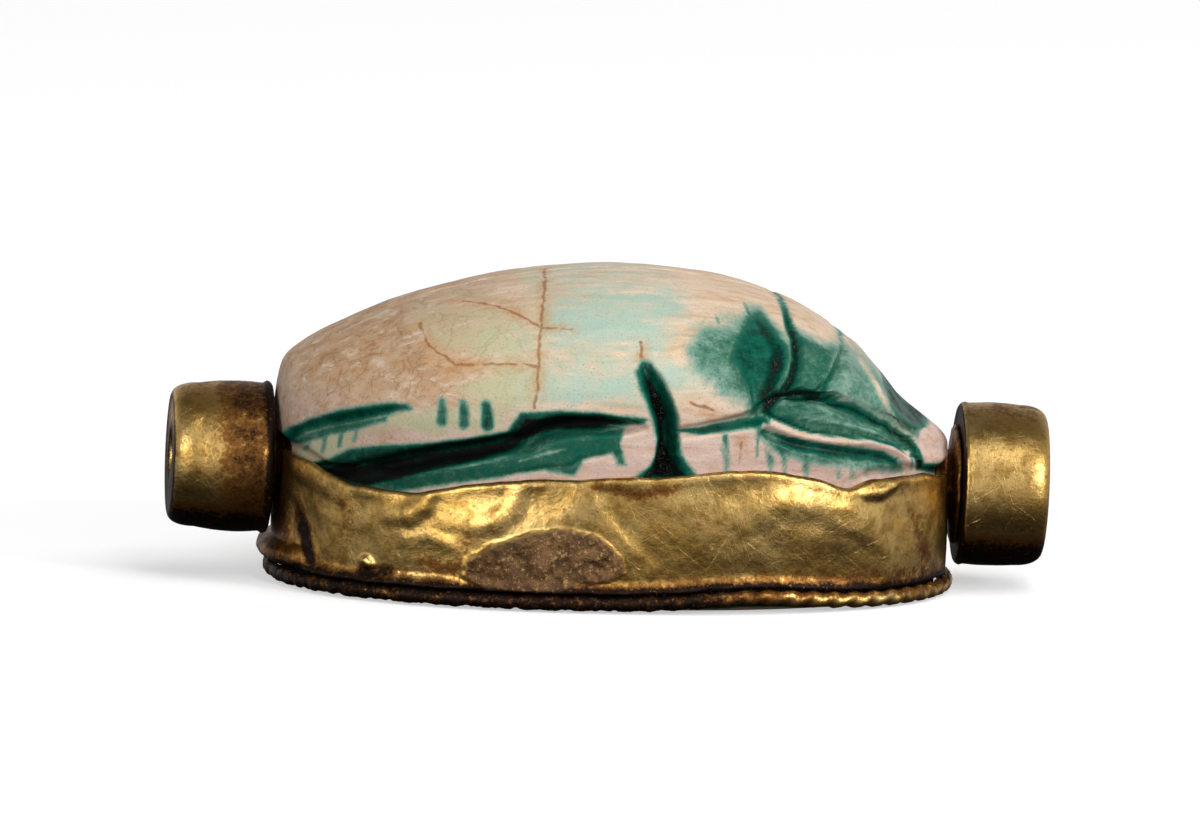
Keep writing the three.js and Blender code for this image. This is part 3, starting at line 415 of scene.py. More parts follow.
near_edge = smooth_curve(NEAR_EDGE)
far_edge = smooth_curve(FAR_EDGE)
drawn_shoulder = smooth_curve(SHOULDER_LINE)
back_by_angle = smooth_curve([(math.asin(along), up) for along, up in BACK_LINE])
front_leg = smooth_curve(FRONT_LEG_LINE)
narrowing = smooth_curve(HEAD_NARROWING)


def edge_height(along, far):
    return BAND_HEIGHT * np.where(far, far_edge(along), near_edge(along))


def shoulder_height(along):
    lowest = np.maximum(edge_height(along, True), edge_height(along, False)) + SWELL_RISE
    return np.maximum(drawn_shoulder(along) * HEIGHT, lowest)


def back_height(along):
    drawn = back_by_angle(np.arcsin(np.clip(along, -1, 1))) * HEIGHT
    return np.maximum(drawn, shoulder_height(along))


def oval_point(angle, along_half, across_half):
    c, s = np.cos(angle), np.sin(angle)
    reach = (np.abs(c) ** PLAN_ROUNDNESS + np.abs(s) ** PLAN_ROUNDNESS) ** (-1 / PLAN_ROUNDNESS)
    return along_half * c * reach, across_half * s * reach


def plan_angles(count):
    """Angles round the plan, closer together along the flanks, and closest on the near one."""
    even = 2 * np.pi * np.arange(count) / count
    return even + 0.125 * np.sin(2 * even) - 0.2 * np.cos(even)


def path_level(paths, u, v, flat=2):
    """The highest value of any path at (u, v), falling smoothly to 0 at the path's half width.

    A path is a list of (u, v, half width, value), and a higher flat keeps its middle level for longer.
    """
    level = np.zeros(np.shape(u))
    for path in paths:
        for (u0, v0, w0, h0), (u1, v1, w1, h1) in zip(path, path[1:]):
            reach = max(w0, w1)
            box = (u > min(u0, u1) - reach) & (u < max(u0, u1) + reach)
            box &= (v > min(v0, v1) - reach) & (v < max(v0, v1) + reach)
            if not box.any():
                continue
            p, q = u[box] - u0, v[box] - v0
            du, dv = u1 - u0, v1 - v0
            t = np.clip((p * du + q * dv) / (du * du + dv * dv), 0, 1)
            away = np.hypot(p - t * du, q - t * dv) / (w0 + t * (w1 - w0))
            value = (h0 + t * (h1 - h0)) * np.clip(1 - away**flat, 0, 1) ** 2
            level[box] = np.maximum(level[box], value)
    return level


def blended_depth(paths, u, v):
    """The depth of several cuts, which blend where they meet instead of adding up."""
    return sum(path_level([path], u, v, flat=3) ** 4 for path in paths) ** 0.25


def area_level(areas, u, v):
    """The highest level of any area at (u, v), fading over the area's soft edge."""
    level = np.zeros(np.shape(u))
    for height, soft, outline in areas:
        level = np.maximum(level, height * smooth_step(inside_outline(outline, u, v) / soft + 0.5))
    return level


def inside_outline(outline, u, v):
    """How far inside a closed outline each (u, v) is, negative outside."""
    points = np.array(outline)
    inside = np.zeros(np.shape(u), bool)
    nearest = np.full(np.shape(u), 1e9)
    for (u0, v0), (u1, v1) in zip(points, np.roll(points, -1, axis=0)):
        crosses = ((v0 > v) != (v1 > v)) & (u < (u1 - u0) * (v - v0) / (v1 - v0 + 1e-12) + u0)
        inside ^= crosses
        du, dv = u1 - u0, v1 - v0
        t = np.clip(((u - u0) * du + (v - v0) * dv) / (du * du + dv * dv), 0, 1)
        nearest = np.minimum(nearest, np.hypot(u - u0 - t * du, v - v0 - t * dv))
    return np.where(inside, nearest, -nearest)


def roughness_field(points, scale, octaves, seed):
    """Fractal noise at each point, about -1 to 1."""
    shift = Vector((seed * 17.3, seed * 5.1, seed * 11.7))
    flat = np.asarray(points, float).reshape(-1, 3) * scale
    values = [noise.fractal(Vector(p) + shift, 0.9, 2.0, octaves) for p in flat.tolist()]
    return np.array(values).reshape(np.shape(points)[:-1])


def blank_stone(angle, part):
    """The beetle before carving: part is 0 at the seal face, 1 at the shoulder and 2 at the top."""
    body_x, body_y = oval_point(angle, HALF_LENGTH, HALF_WIDTH)
    foot_x, foot_y = oval_point(angle, FOOT_HALF_LENGTH, FOOT_HALF_WIDTH)
    along = body_x / HALF_LENGTH
    z = part * shoulder_height(along)
    swell = smooth_step((z - edge_height(along, body_y > 0)) / SWELL_RISE)
    ledge = smooth_step((z / HEIGHT - front_leg(along) + LEDGE) / (2 * LEDGE))
    width = 1 + (narrowing(along) - 1) * ledge
    side_x = foot_x + (body_x - foot_x) * swell
    side_y = (foot_y + (body_y - foot_y) * swell) * width
    side = np.stack([side_x, side_y, z], -1)
    turn = np.clip(part - 1, 0, 1) * np.pi / 2
    reach = np.cos(turn) ** (2 / DOME_ROUNDNESS)
    share = along * reach
    y = body_y * reach * narrowing(share)
    room = np.maximum(1 - np.abs(share) ** PLAN_ROUNDNESS, 1e-9) ** (1 / PLAN_ROUNDNESS)
    across = np.minimum(np.abs(y) / (HALF_WIDTH * narrowing(share) * room), 1)
    rise = (1 - across**DOME_ROUNDNESS) ** (1 / DOME_ROUNDNESS)
    shoulder = shoulder_height(share)
    dome = np.stack([body_x * reach, y, shoulder + (back_height(share) - shoulder) * rise], -1)
    return np.where((part > 1)[..., None], dome, side)


SEAL_LINE = (0.2, 0.24)  # half width and depth of a line of the seal's design


def seal_design(x, y):
    """How deep the seal face is cut: a border, four spirals round a boss and groups of strokes."""
    paths = []
    line = SEAL_LINE
    turns = np.linspace(0, 2 * np.pi, 97)
    border_x, border_y = oval_point(turns, FOOT_HALF_LENGTH - 1.15, FOOT_HALF_WIDTH - 1.15)
    paths.append([(a, b, *line) for a, b in zip(border_x, border_y)])
    paths.append([(0.95 * math.cos(t), 0.95 * math.sin(t), *line) for t in turns[::4]])
    for side_x in (-1, 1):
        for side_y in (-1, 1):
            spiral = []
            for share in np.linspace(0, 1, 40):
                radius = 1.75 - 1.25 * share
                turn = 2 * np.pi * 1.6 * share
                spiral_x = side_x * (0.43 * FOOT_HALF_LENGTH - radius * math.cos(turn))
                spiral_y = side_y * (0.37 * FOOT_HALF_WIDTH + radius * math.sin(turn))
                spiral.append((spiral_x, spiral_y, *line))
            paths.append(spiral)
    for side in (-1, 1):
        for step in (-0.84, 0, 0.84):
            at_x, at_y = side * 0.76 * FOOT_HALF_LENGTH, side * 0.6 * FOOT_HALF_WIDTH
            paths.append([(at_x - 0.55, step, *line), (at_x + 0.55, step, *line)])
            paths.append([(step, at_y - 0.55, *line), (step, at_y + 0.55, *line)])
    return path_level(paths, x, y)


# The rows of the stone's surface, seal face first.
STONE_AROUND = 560
FACE_ROWS = 42
WALL_ROWS = 4
FLANK_ROWS = 34
DOME_ROWS = 88
HIDDEN_BELOW_EDGE = 0.4  # where the finely divided flank starts, inside the band

FACE_CHAMFER = 0.05  # how far the worn edge of the seal face is lifted
HATCH_DEPTH = 0.04
STONE_WAVES = 0.022  # slow unevenness of the carved surface
STONE_GRAIN = 0.006  # its fine unevenness
STONE_WEAR = 0.03  # how far it is worn back, which leaves room for both


def foot_lift(along, far):
    lift = FOOT_LIFT * np.exp(-(((along - FOOT_LIFT_ALONG) / FOOT_LIFT_SPREAD) ** 2))
    return np.where(far, 0, lift)


def hatch_paths(value):
    """The hatched strokes as paths, strongest in the middle."""
    return [
        [(top, HATCH_TOP - 0.1, width * 0.6, value * 0.7), (foot, HATCH_FOOT + 0.5, width, value),
         (foot + 0.03, HATCH_FOOT - 0.1, width * 0.8, value * 0.8)]
        for top, foot, width in HATCHES
    ]


def stone_surface():
    """Every point of the carved stone: rows from the middle of the seal face to the top of the back."""
    angle = plan_angles(STONE_AROUND)[None, :]
    foot_x, foot_y = oval_point(angle, FOOT_HALF_LENGTH, FOOT_HALF_WIDTH)
    along = oval_point(angle, HALF_LENGTH, HALF_WIDTH)[0] / HALF_LENGTH
    share = (np.arange(FACE_ROWS) / FACE_ROWS)[:, None]
    face = np.stack([foot_x * share, foot_y * share, np.zeros(np.shape(foot_x * share))], -1)
    face[..., 2] = seal_design(face[..., 0], face[..., 1])
    foot_wear = FACE_CHAMFER + 1.2 * foot_lift(along, foot_y > 0)
    face[..., 2] += foot_wear * smooth_step((share - 0.93) / 0.07)

    start = (edge_height(along, foot_y > 0) - HIDDEN_BELOW_EDGE) / shoulder_height(along)
    wall = start * (np.arange(WALL_ROWS) / WALL_ROWS)[:, None]
    flank = start + (1 - start) * (np.arange(FLANK_ROWS) / FLANK_ROWS)[:, None]
    dome = 1 + (np.arange(DOME_ROWS + 1) / DOME_ROWS)[:, None] ** 1.25 + 0 * start
    body = blank_stone(angle, np.concatenate([wall, flank, dome]))
    body[..., 2] = np.maximum(body[..., 2], foot_wear)

    round_step = np.roll(body, -1, axis=1) - np.roll(body, 1, axis=1)
    up_step = np.gradient(body, axis=0)
    normal = np.cross(round_step, up_step)
    normal /= np.maximum(np.linalg.norm(normal, axis=-1, keepdims=True), 1e-12)
    normal[-1] = (0, 0, 1)

    x, y, z = np.moveaxis(body, -1, 0)
    carved = blended_depth(FLANK_CUTS, x, z)
    carved = np.maximum(carved, path_level(hatch_paths(HATCH_DEPTH), x, z))
    on_back = smooth_step((z - shoulder_height(x / HALF_LENGTH)) / 0.6)
    carved = np.maximum(carved, path_level(BACK_CUTS, x, np.abs(y)) * on_back)
    raised = path_level(FLANK_RIDGES, x, z)
    waves = STONE_WAVES * roughness_field(body, 0.45, 3, 1) + STONE_GRAIN * roughness_field(body, 2.2, 2, 2)
    shown = smooth_step((np.arange(len(body)) - WALL_ROWS) / 8)[:, None]
    body = body + normal * ((raised - carved + waves - STONE_WEAR) * shown)[..., None]
    surface = np.concatenate([face, body])
    return np.concatenate([surface, surface[:, :1]], axis=1)


def deselect_all():
    for item in bpy.context.view_layer.objects:
        item.select_set(False)


def add_shaped_grid(name, surface):
    """A flat grid whose corners take the places of a surface's points, closed where its edges meet."""
    rows, columns = len(surface) - 1, len(surface[0]) - 1
    deselect_all()
    bpy.ops.mesh.primitive_grid_add(x_subdivisions=columns, y_subdivisions=rows, size=2, calc_uvs=False)
    piece = bpy.context.active_object
    piece.name = name
    mesh = piece.data
    mesh.name = name
    flat = np.zeros(len(mesh.vertices) * 3)
    mesh.vertices.foreach_get("co", flat)
    column, row = np.round((flat.reshape(-1, 3)[:, :2].T + 1) / 2 * [[columns], [rows]]).astype(int)
    placed = np.asarray(surface, float)[row, column] * MM + np.array([BEETLE_MIDDLE, 0, 0])
    mesh.vertices.foreach_set("co", placed.ravel())
    mesh.update()
    mesh.calc_loop_triangles()
    corners = np.zeros(len(mesh.loop_triangles) * 3, int)
    mesh.loop_triangles.foreach_get("vertices", corners)
    a, b, c = np.moveaxis(placed[corners.reshape(-1, 3)], 1, 0)
    if np.einsum("ij,ij->i", a, np.cross(b, c)).sum() < 0:
        mesh.flip_normals()
    bpy.ops.object.mode_set(mode="EDIT")
    bpy.ops.mesh.select_all(action="SELECT")
    bpy.ops.mesh.remove_doubles(threshold=SEAM_REACH)
    bpy.ops.object.mode_set(mode="OBJECT")
    bpy.ops.object.shade_smooth()
    return piece


def ring_of(surface):
    """A surface closed along both of its directions."""
    closed = np.concatenate([surface, surface[:1]], axis=0)
    return np.concatenate([closed, closed[:, :1]], axis=1)


def drill(piece):
    """Cuts the hole for the ring's wire through a piece, along the line of the bore."""
    deselect_all()
    bpy.ops.mesh.primitive_cylinder_add(
        vertices=64, radius=BORE_RADIUS * MM, depth=2 * BORE_REACH * MM,
        location=(BEETLE_MIDDLE + BORE_MIDDLE * MM, 0, BORE_HEIGHT * MM),
        rotation=(0, math.pi / 2 + BORE_TILT, 0),
    )
    cutter = bpy.context.active_object
    deselect_all()
    bpy.context.view_layer.objects.active = piece
    piece.select_set(True)
    cut = piece.modifiers.new("bore", "BOOLEAN")
    cut.operation = "DIFFERENCE"
    cut.solver = "MANIFOLD"
    cut.object = cutter
    bpy.ops.object.modifier_apply(modifier=cut.name)
    bpy.data.objects.remove(cutter)


def piece_points(piece):
    """A piece's vertices in millimetres from the middle of the beetle."""
    points = np.zeros(len(piece.data.vertices) * 3)
    piece.data.vertices.foreach_get("co", points)
    return (points.reshape(-1, 3) - np.array([BEETLE_MIDDLE, 0, 0])) / MM


def set_attribute(piece, name, values):
    layer = piece.data.attributes.new(name, "FLOAT", "POINT")
    layer.data.foreach_set("value", np.asarray(values, np.float32))


def make_stone():
    stone = add_shaped_grid("carved_stone", stone_surface())
    drill(stone)
    x, y, z = piece_points(stone).T
    # Glaze levels, with painted shade: the darkest level marks the depths of the cuts and the stone behind
    # the band.
    glaze_and_shade = area_level(GLAZE_AREAS, x, z)
    glaze_and_shade = np.maximum(glaze_and_shade, path_level(GLAZE_STROKES, x, z, flat=2.2))
    glaze_and_shade = np.maximum(glaze_and_shade, path_level(hatch_paths(HATCH_GLAZE), x, z, flat=1.3))
    glaze_and_shade = np.clip(glaze_and_shade - path_level(GLAZE_WORN, x, z), 0, 1)
    from_middle = np.hypot(x / FOOT_HALF_LENGTH, y / FOOT_HALF_WIDTH)
    on_face = (z < 0.3) & (from_middle < 0.97)
    glaze_and_shade = np.where(on_face, np.clip(z * 3.4, 0, 0.8), glaze_and_shade)  # left in the cuts of the seal's design
    behind_band = (z > 0.02) & (z < 1.3) & (from_middle > 0.985)  # painted shade: the stone's foot behind the band gets the darkest level, a dark line over the wire
    glaze_and_shade = np.where(behind_band, 1.0, glaze_and_shade)
    set_attribute(stone, "glaze_and_shade", glaze_and_shade)
    set_attribute(stone, "mint", area_level(MINT_AREAS, x, z))
    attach(stone, "root")
    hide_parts("scarab")
    return stone


BAND_TUCK = 0.08  # how far the band bellies out halfway up and in again at its foot
WIDEST_BULGE = 0.2  # how far the band's sides may stand out, which keeps them within the CAD box
DEEPEST_DENT = -0.15
FLANGE_HEIGHT = 0.7  # the roll of gold over the wire at the tail
FLANGE_REACH = 0.5

# How finely the band's section is divided.
BAND_AROUND = 900
OUTER_ROWS = 44
LIP_ROWS = 6
INNER_ROWS = 3
FOOT_ROWS = 2


def dents(table, x, z):
    relief = np.zeros(np.shape(x))
    for at_x, at_z, length, height, out in table:
        relief += out * np.exp(-(((x - at_x) / length) ** 2) - ((z - at_z) / height) ** 2)
    return relief


def band_relief(x, z, far):
    """How far the band's outer face stands out from a flat sheet."""
    near = dents(NEAR_DENTS, x, z) + path_level(NEAR_CREASES, x, z)
    near -= path_level(NEAR_VALLEYS, x, z)
    sides = 1 - smooth_step((np.abs(x) / FOOT_HALF_LENGTH - 0.955) / 0.03)
    relief = np.where(far, dents(FAR_DENTS, x, z), near) * sides
    belly = np.exp(-(((z - 2.3) / 0.9) ** 2)) - smooth_step((1.7 - z) / 1.2)
    relief = relief + BAND_TUCK * belly * sides
    tail = smooth_step((-x / FOOT_HALF_LENGTH - 0.9) / 0.08)
    from_middle = (z - RIM_TOP) * 2 / FLANGE_HEIGHT - 1
    lumps = 1 - 0.35 * np.abs(roughness_field(np.stack([x, 0 * x, z], -1), 1.5, 3, 10))
    flange = FLANGE_REACH * tail * np.maximum(1 - from_middle**2, 0) * lumps
    return np.maximum(relief, DEEPEST_DENT) + flange


def band_surface():
    """Sections of the band: up the outer face, over the rolled lip, down the inner face and back."""
    angle = plan_angles(BAND_AROUND)[:, None]
    x, y = oval_point(angle, FOOT_HALF_LENGTH, FOOT_HALF_WIDTH)
    along = x / FOOT_HALF_LENGTH
    far = y > 0
    outward = np.stack([x / FOOT_HALF_LENGTH**2, y / FOOT_HALF_WIDTH**2], -1)
    outward /= np.linalg.norm(outward, axis=-1, keepdims=True)

    lip = SHEET_THICKNESS / 2
    under_stone = smooth_step((np.abs(along) - 0.9) / 0.06)
    ground = np.concatenate([x, y, 0 * x], -1)[:, None, :]
    wobble = roughness_field(ground, 0.9, 3, 5)
    top = edge_height(along, far) - lip - 0.06 * under_stone + 0.045 * wobble * (1 - under_stone)
    low = BAND_FOOT + foot_lift(along, far)
    up = np.linspace(0, 1, OUTER_ROWS)[None, :]
    outer_z = low + (top - low) * up
    flat_points = np.stack([x + 0 * outer_z, y + 0 * outer_z, outer_z], -1)
    crust = smooth_step((inside_outline(CRUST, x + 0 * outer_z, outer_z) + 0.05) / 0.16) * (~far)
    outer = WALL_OFFSET + band_relief(x + 0 * outer_z, outer_z, far)
    outer += 0.03 * roughness_field(flat_points, 0.55, 3, 3)
    outer += 0.012 * roughness_field(flat_points, 1.9, 4, 4)
    outer += crust * np.minimum(0.05 + 0.13 * roughness_field(flat_points, 2.4, 5, 6), 0.12)
    solder = smooth_step(1 - (outer_z - low) / 0.4) * (1 - smooth_step((along + 0.2) / 1.4))
    outer += solder * (0.2 + 0.12 * roughness_field(flat_points, 1.1, 4, 12)) * (1 - under_stone)
    rolled = np.exp(-(((outer_z - top) / 0.22) ** 2)) * (1 - under_stone)
    outer += rolled * (0.03 + 0.03 * wobble)
    outer = np.where(np.abs(along) < 0.8, np.minimum(outer, WALL_OFFSET + WIDEST_BULGE), outer)

    turn = np.linspace(0, np.pi, LIP_ROWS + 2)[None, 1:-1]
    inner = WALL_OFFSET - SHEET_THICKNESS
    mid = (outer[:, -1:] + inner) / 2
    half = (outer[:, -1:] - inner) / 2
    lip_out = mid + half * np.cos(turn)
    lip_z = top + lip * np.sin(turn)
    inner_z = top + (low - top) * np.linspace(0, 0.9, INNER_ROWS)[None, :]
    foot_out = np.linspace(inner, WALL_OFFSET, FOOT_ROWS + 2)[None, 1:-1] + 0 * x
    out = np.concatenate([outer, lip_out, inner + 0 * inner_z, foot_out], axis=1)
    z = np.concatenate([outer_z, lip_z, inner_z, low + 0 * foot_out], axis=1)
    flat_xy = np.concatenate([x, y], -1)[:, None, :] + outward * out[..., None]
    return np.concatenate([flat_xy, z[..., None]], -1)


def turned_surface(profile, around, start, direction, relief):
    """A profile of (distance, radius) points turned round the bore's line, which the relief swells."""
    turns = 2 * np.pi * np.arange(around)[:, None] / around
    along, radius = np.array(profile, float).T[:, None, :]
    reach = start - BORE_MIDDLE + direction * along + 0 * turns
    side = radius * np.cos(turns)
    rise = radius * np.sin(turns)
    outside = radius > BORE_RADIUS + 0.01
    grown = 1 + relief(np.stack([reach, side, rise], -1)) / radius * outside
    side, rise = side * grown, rise * grown
    x = BORE_MIDDLE + reach * math.cos(BORE_TILT) + rise * math.sin(BORE_TILT)
    z = BORE_HEIGHT - reach * math.sin(BORE_TILT) + rise * math.cos(BORE_TILT)
    return np.stack([x, side, z], -1)


def neck_surface(start, direction, length, radius, flare, seed):
    """The solder neck from a collar's face inwards, flared where it meets the collar."""
    profile = [(0, BORE_RADIUS)]
    for share in np.linspace(0, 1, 14):
        swell = 1 + 0.12 * math.cos(2 * math.pi * share) + flare * smooth_step((0.24 - share) / 0.08)
        profile.append((length * share, radius * swell))
    profile += [(length, BORE_RADIUS), (length * 0.5, BORE_RADIUS)]

    def lumps(points):
        return 0.16 * roughness_field(points, 1.3, 3, seed)

    return turned_surface(profile, 72, start, direction, lumps)


def join_pieces(pieces, name):
    deselect_all()
    for piece in pieces:
        piece.select_set(True)
    bpy.context.view_layer.objects.active = pieces[0]
    bpy.ops.object.join()
    joined = bpy.context.active_object
    joined.name = name
    return joined


def make_band():
    sheet = add_shaped_grid("band_sheet", ring_of(band_surface()))
    drill(sheet)
    tail_surface = neck_surface(TAIL_FACE + JOINT_GAP, 1, length=0.6, radius=1.15, flare=0.0, seed=8)
    head_surface = neck_surface(HEAD_FACE - JOINT_GAP, -1, length=0.7, radius=1.0, flare=0.6, seed=9)
    tail_neck = add_shaped_grid("tail_neck", ring_of(tail_surface))
    head_neck = add_shaped_grid("head_neck", ring_of(head_surface))
    band = join_pieces([sheet, tail_neck, head_neck], "hammered_band")
    x, y, z = piece_points(band).T
    near = y < 0
    far = ~near
    along = x / FOOT_HALF_LENGTH
    edge = edge_height(along, far)
    crust = smooth_step((inside_outline(CRUST, x, z) + 0.05) / 0.12) * near
    # Painted shade along the band's foot, over the wire.
    joint_shade = 0.85 * smooth_step((0.5 - (z - BAND_FOOT - foot_lift(along, far))) / 0.5)
    # Darker along the upper edge and at both ends.
    lip = 0.5 * smooth_step((z - edge + 0.14) / 0.16)
    ends = 0.558 * smooth_step((-x - 9.2) / 0.5) + 0.54 * smooth_step((x - 9.6) / 0.3)
    # Painted shade in the fold at the tail corner.
    fold_shade = 4 * path_level(NEAR_VALLEYS[:1], x, z) * near
    stains = path_level(NEAR_STAINS, x, z) * near
    # Painted shade, darker towards the bottom of the near side.
    low_shade = (0.5 + 0.16 * smooth_step(x / 5)) * smooth_step((2.0 - z) / 1.6) * near
    # Dirt and stains together with painted shade, in one mask.
    dirt_and_shade = np.maximum.reduce([joint_shade, lip, ends, fold_shade, stains, low_shade])
    set_attribute(band, "crust", crust)
    set_attribute(band, "dirt_and_shade", np.clip(dirt_and_shade, 0, 1))
    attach(band, "root")
    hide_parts("gold_band")
    return band


RIM_AROUND = 1200
RIM_CORNERS = 12
RIM_TWISTS = 78
RIM_RADIUS = 0.25
RIM_HEIGHT = 0.03 + RIM_RADIUS  # the wire's middle over the floor
STRAND_DEPTH = 0.24  # the groove between the strands, as a share of the wire's radius
RIM_LUMPS = 0.45


def make_rim():
    """The wire round the band's foot: two strands twisted together, worn smooth towards the tail."""
    angle = plan_angles(RIM_AROUND)[:, None]
    x, y = oval_point(angle, FOOT_HALF_LENGTH + WALL_OFFSET, FOOT_HALF_WIDTH + WALL_OFFSET)
    along = x / (FOOT_HALF_LENGTH + WALL_OFFSET)
    plan = np.concatenate([x, y], -1)
    ahead = np.roll(plan, -1, axis=0) - np.roll(plan, 1, axis=0)
    length = np.linalg.norm(ahead, axis=-1)
    travelled = np.cumsum(length) / length.sum()
    ahead /= length[:, None]
    outward = np.stack([ahead[:, 1], -ahead[:, 0]], -1)
    corner = 2 * np.pi * np.arange(RIM_CORNERS)[None, :] / RIM_CORNERS
    strand = np.cos(2 * (corner - np.pi * RIM_TWISTS * travelled[:, None]))
    crisp = 0.35 + 0.65 * smooth_step((along + 0.2) / 0.7)
    lumps = np.abs(roughness_field(np.concatenate([x, y, 0 * x], -1)[:, None, :], 1.8, 4, 7))
    radius = RIM_RADIUS * (1 - STRAND_DEPTH * crisp * (1 - strand) / 2 - RIM_LUMPS * (1.15 - crisp) * lumps)
    out = 0.85 * radius * np.cos(corner)
    height = RIM_HEIGHT + foot_lift(along, y > 0) + radius * np.sin(corner)
    flat_xy = plan[:, None, :] + outward[:, None, :] * out[..., None]
    rim = add_shaped_grid("twisted_rim", ring_of(np.concatenate([flat_xy, height[..., None]], -1)))
    x, y, z = piece_points(rim).T
    set_attribute(rim, "crust", np.zeros(len(x)))
    # Dirt and painted shade over the whole wire, darker towards the tail.
    set_attribute(rim, "dirt_and_shade", 0.7 - 0.28 * smooth_step((x - 1) / 5))
    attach(rim, "root")
    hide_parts("rim_wire")
    return rim


# The collars' sizes: cone is how much narrower the barrel gets outwards, and barrel is its belly.
TAIL_COLLAR = {"length": 2.95, "radius": 2.24, "cone": 0.1, "shoulder": 0.8, "down": 0.42, "barrel": 0.2}
HEAD_COLLAR = {"length": 2.56, "radius": 2.4, "cone": 0.03, "shoulder": 0.8, "down": 0.42, "barrel": 0.1}
COLLAR_EDGE = 0.16  # radius of the rounding at a collar's inner end


def collar_profile(length, radius, cone, shoulder, down, barrel):
    """A short barrel with a rounded outer shoulder, from the bore round the inner face and back."""
    profile = [(0.0, BORE_RADIUS + 0.02)]
    for share in (0.5, 1):
        profile.append((0.02, BORE_RADIUS + (radius - 0.2 - BORE_RADIUS) * share))
    for turn in np.linspace(0, np.pi / 2, 5):
        rounded = radius - COLLAR_EDGE + COLLAR_EDGE * math.sin(turn)
        profile.append((COLLAR_EDGE - COLLAR_EDGE * math.cos(turn), rounded))
    for share in np.linspace(0.06, 1, 18):
        along = COLLAR_EDGE + (length - shoulder - COLLAR_EDGE) * share
        bow = barrel * (1 - (2 * along / length - 1) ** 2) - barrel
        profile.append((along, radius - cone * share + bow * 0.5 + barrel * 0.5 * share * (1 - share)))
    start = profile[-1][1]
    for turn in np.linspace(0, np.pi / 2, 11)[1:]:
        reach, drop = math.sin(turn) ** 0.86, 1 - math.cos(turn) ** 0.86
        profile.append((length - shoulder + shoulder * reach, start - down * drop))
    edge = start - down
    for share in (0.25, 0.5, 0.75):
        hollow = 0.05 * math.sin(math.pi * share)
        profile.append((length - hollow, edge + (BORE_RADIUS + 0.1 - edge) * share))
    profile += [(length - 0.02, BORE_RADIUS + 0.08), (length - 0.1, BORE_RADIUS)]
    return profile + [(length * 0.5, BORE_RADIUS)]


def make_collar(name, node, start, direction, size, seed):
    def hammered(points):
        return 0.02 * roughness_field(points, 0.5, 3, seed) + 0.004 * roughness_field(points, 2.4, 2, seed)

    surface = turned_surface(collar_profile(**size), 200, start, direction, hammered)
    collar = add_shaped_grid(name, ring_of(surface))
    x, y, z = piece_points(collar).T
    radius = size["radius"]
    from_start = (x - start) * direction
    axis = BORE_HEIGHT - (x - BORE_MIDDLE) * math.tan(BORE_TILT)
    away = np.hypot(y, z - axis)
    # Painted shade at the joint with the stone: the inner end, heavily at the head, and the inner face,
    # black.
    inner_end = smooth_step((0.55 - from_start) / 0.5)
    inside_edge = smooth_step((radius - 0.25 - away) / 0.15)
    outer_face = 0.8 * smooth_step((from_start - size["length"] + 0.1) / 0.08) * inside_edge
    # The upper side is darkened: dust with painted shade.
    top = 0.32 * smooth_step(((z - axis) / radius - 0.55) / 0.35)
    # Painted shade on the underside, darker towards the bottom.
    under = 0.85 * smooth_step((-(z - axis) / radius - 0.15) / 0.75)
    inner_face = smooth_step((0.1 - from_start) / 0.05)
    joint_shade = np.maximum(inner_end * (0.9 if direction < 0 else 0.25), inner_face)
    patina = 0.37 * smooth_step((2.4 - from_start) / 1.4) * (direction < 0) + 0.18
    dirt_and_shade = np.maximum.reduce([joint_shade, outer_face, top, under, patina])
    set_attribute(collar, "crust", np.zeros(len(x)))
    set_attribute(collar, "dirt_and_shade", np.clip(dirt_and_shade, 0, 1))
    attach(collar, "root")
    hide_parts(node)
    return collar


def colour(red, green, blue):
    """A linear colour from the 0 to 255 values that a screen shows."""
    shown = np.array([red, green, blue]) / 255
    linear = np.where(shown <= 0.04045, shown / 12.92, ((shown + 0.055) / 1.055) ** 2.4)
    return (*linear.tolist(), 1.0)


def set_stops(ramp, stops):
    """Gives a colour ramp its stops of (position, colour)."""
    while len(ramp.elements) < len(stops):
        ramp.elements.new(1.0)
    for element, (position, shade) in zip(ramp.elements, stops):
        element.position = position
        element.color = shade


class Value:
    """A socket of a finish's nodes. Arithmetic on it adds Math nodes."""

    def __init__(self, finish, socket):
        self.finish = finish
        self.socket = socket

    def math(self, operation, first, second=0.0, clamped=False):
        settings = {"operation": operation, "use_clamp": clamped}
        return self.finish.node("Math", settings, {0: first, 1: second})

    def __add__(self, other):
        return self.math("ADD", self, other)

    def __radd__(self, other):
        return self.math("ADD", other, self)

    def __sub__(self, other):
        return self.math("SUBTRACT", self, other)

    def __rsub__(self, other):
        return self.math("SUBTRACT", other, self)

    def __mul__(self, other):
        return self.math("MULTIPLY", self, other)

    def __rmul__(self, other):
        return self.math("MULTIPLY", other, self)

    def clamped(self):
        return self.math("ADD", self, 0.0, clamped=True)

    def higher(self, other):
        return self.math("MAXIMUM", self, other)

    def between(self, start, end):
        """0 at start and 1 at end, with a smooth change; start may be above end."""
        inputs = {"Value": self, "From Min": start, "From Max": end}
        return self.finish.node("MapRange", {"interpolation_type": "SMOOTHSTEP"}, inputs)


def lowest(values):
    """The lowest of several values of a finish's nodes."""
    result = values[0]
    for value in values[1:]:
        result = result.math("MINIMUM", result, value)
    return result


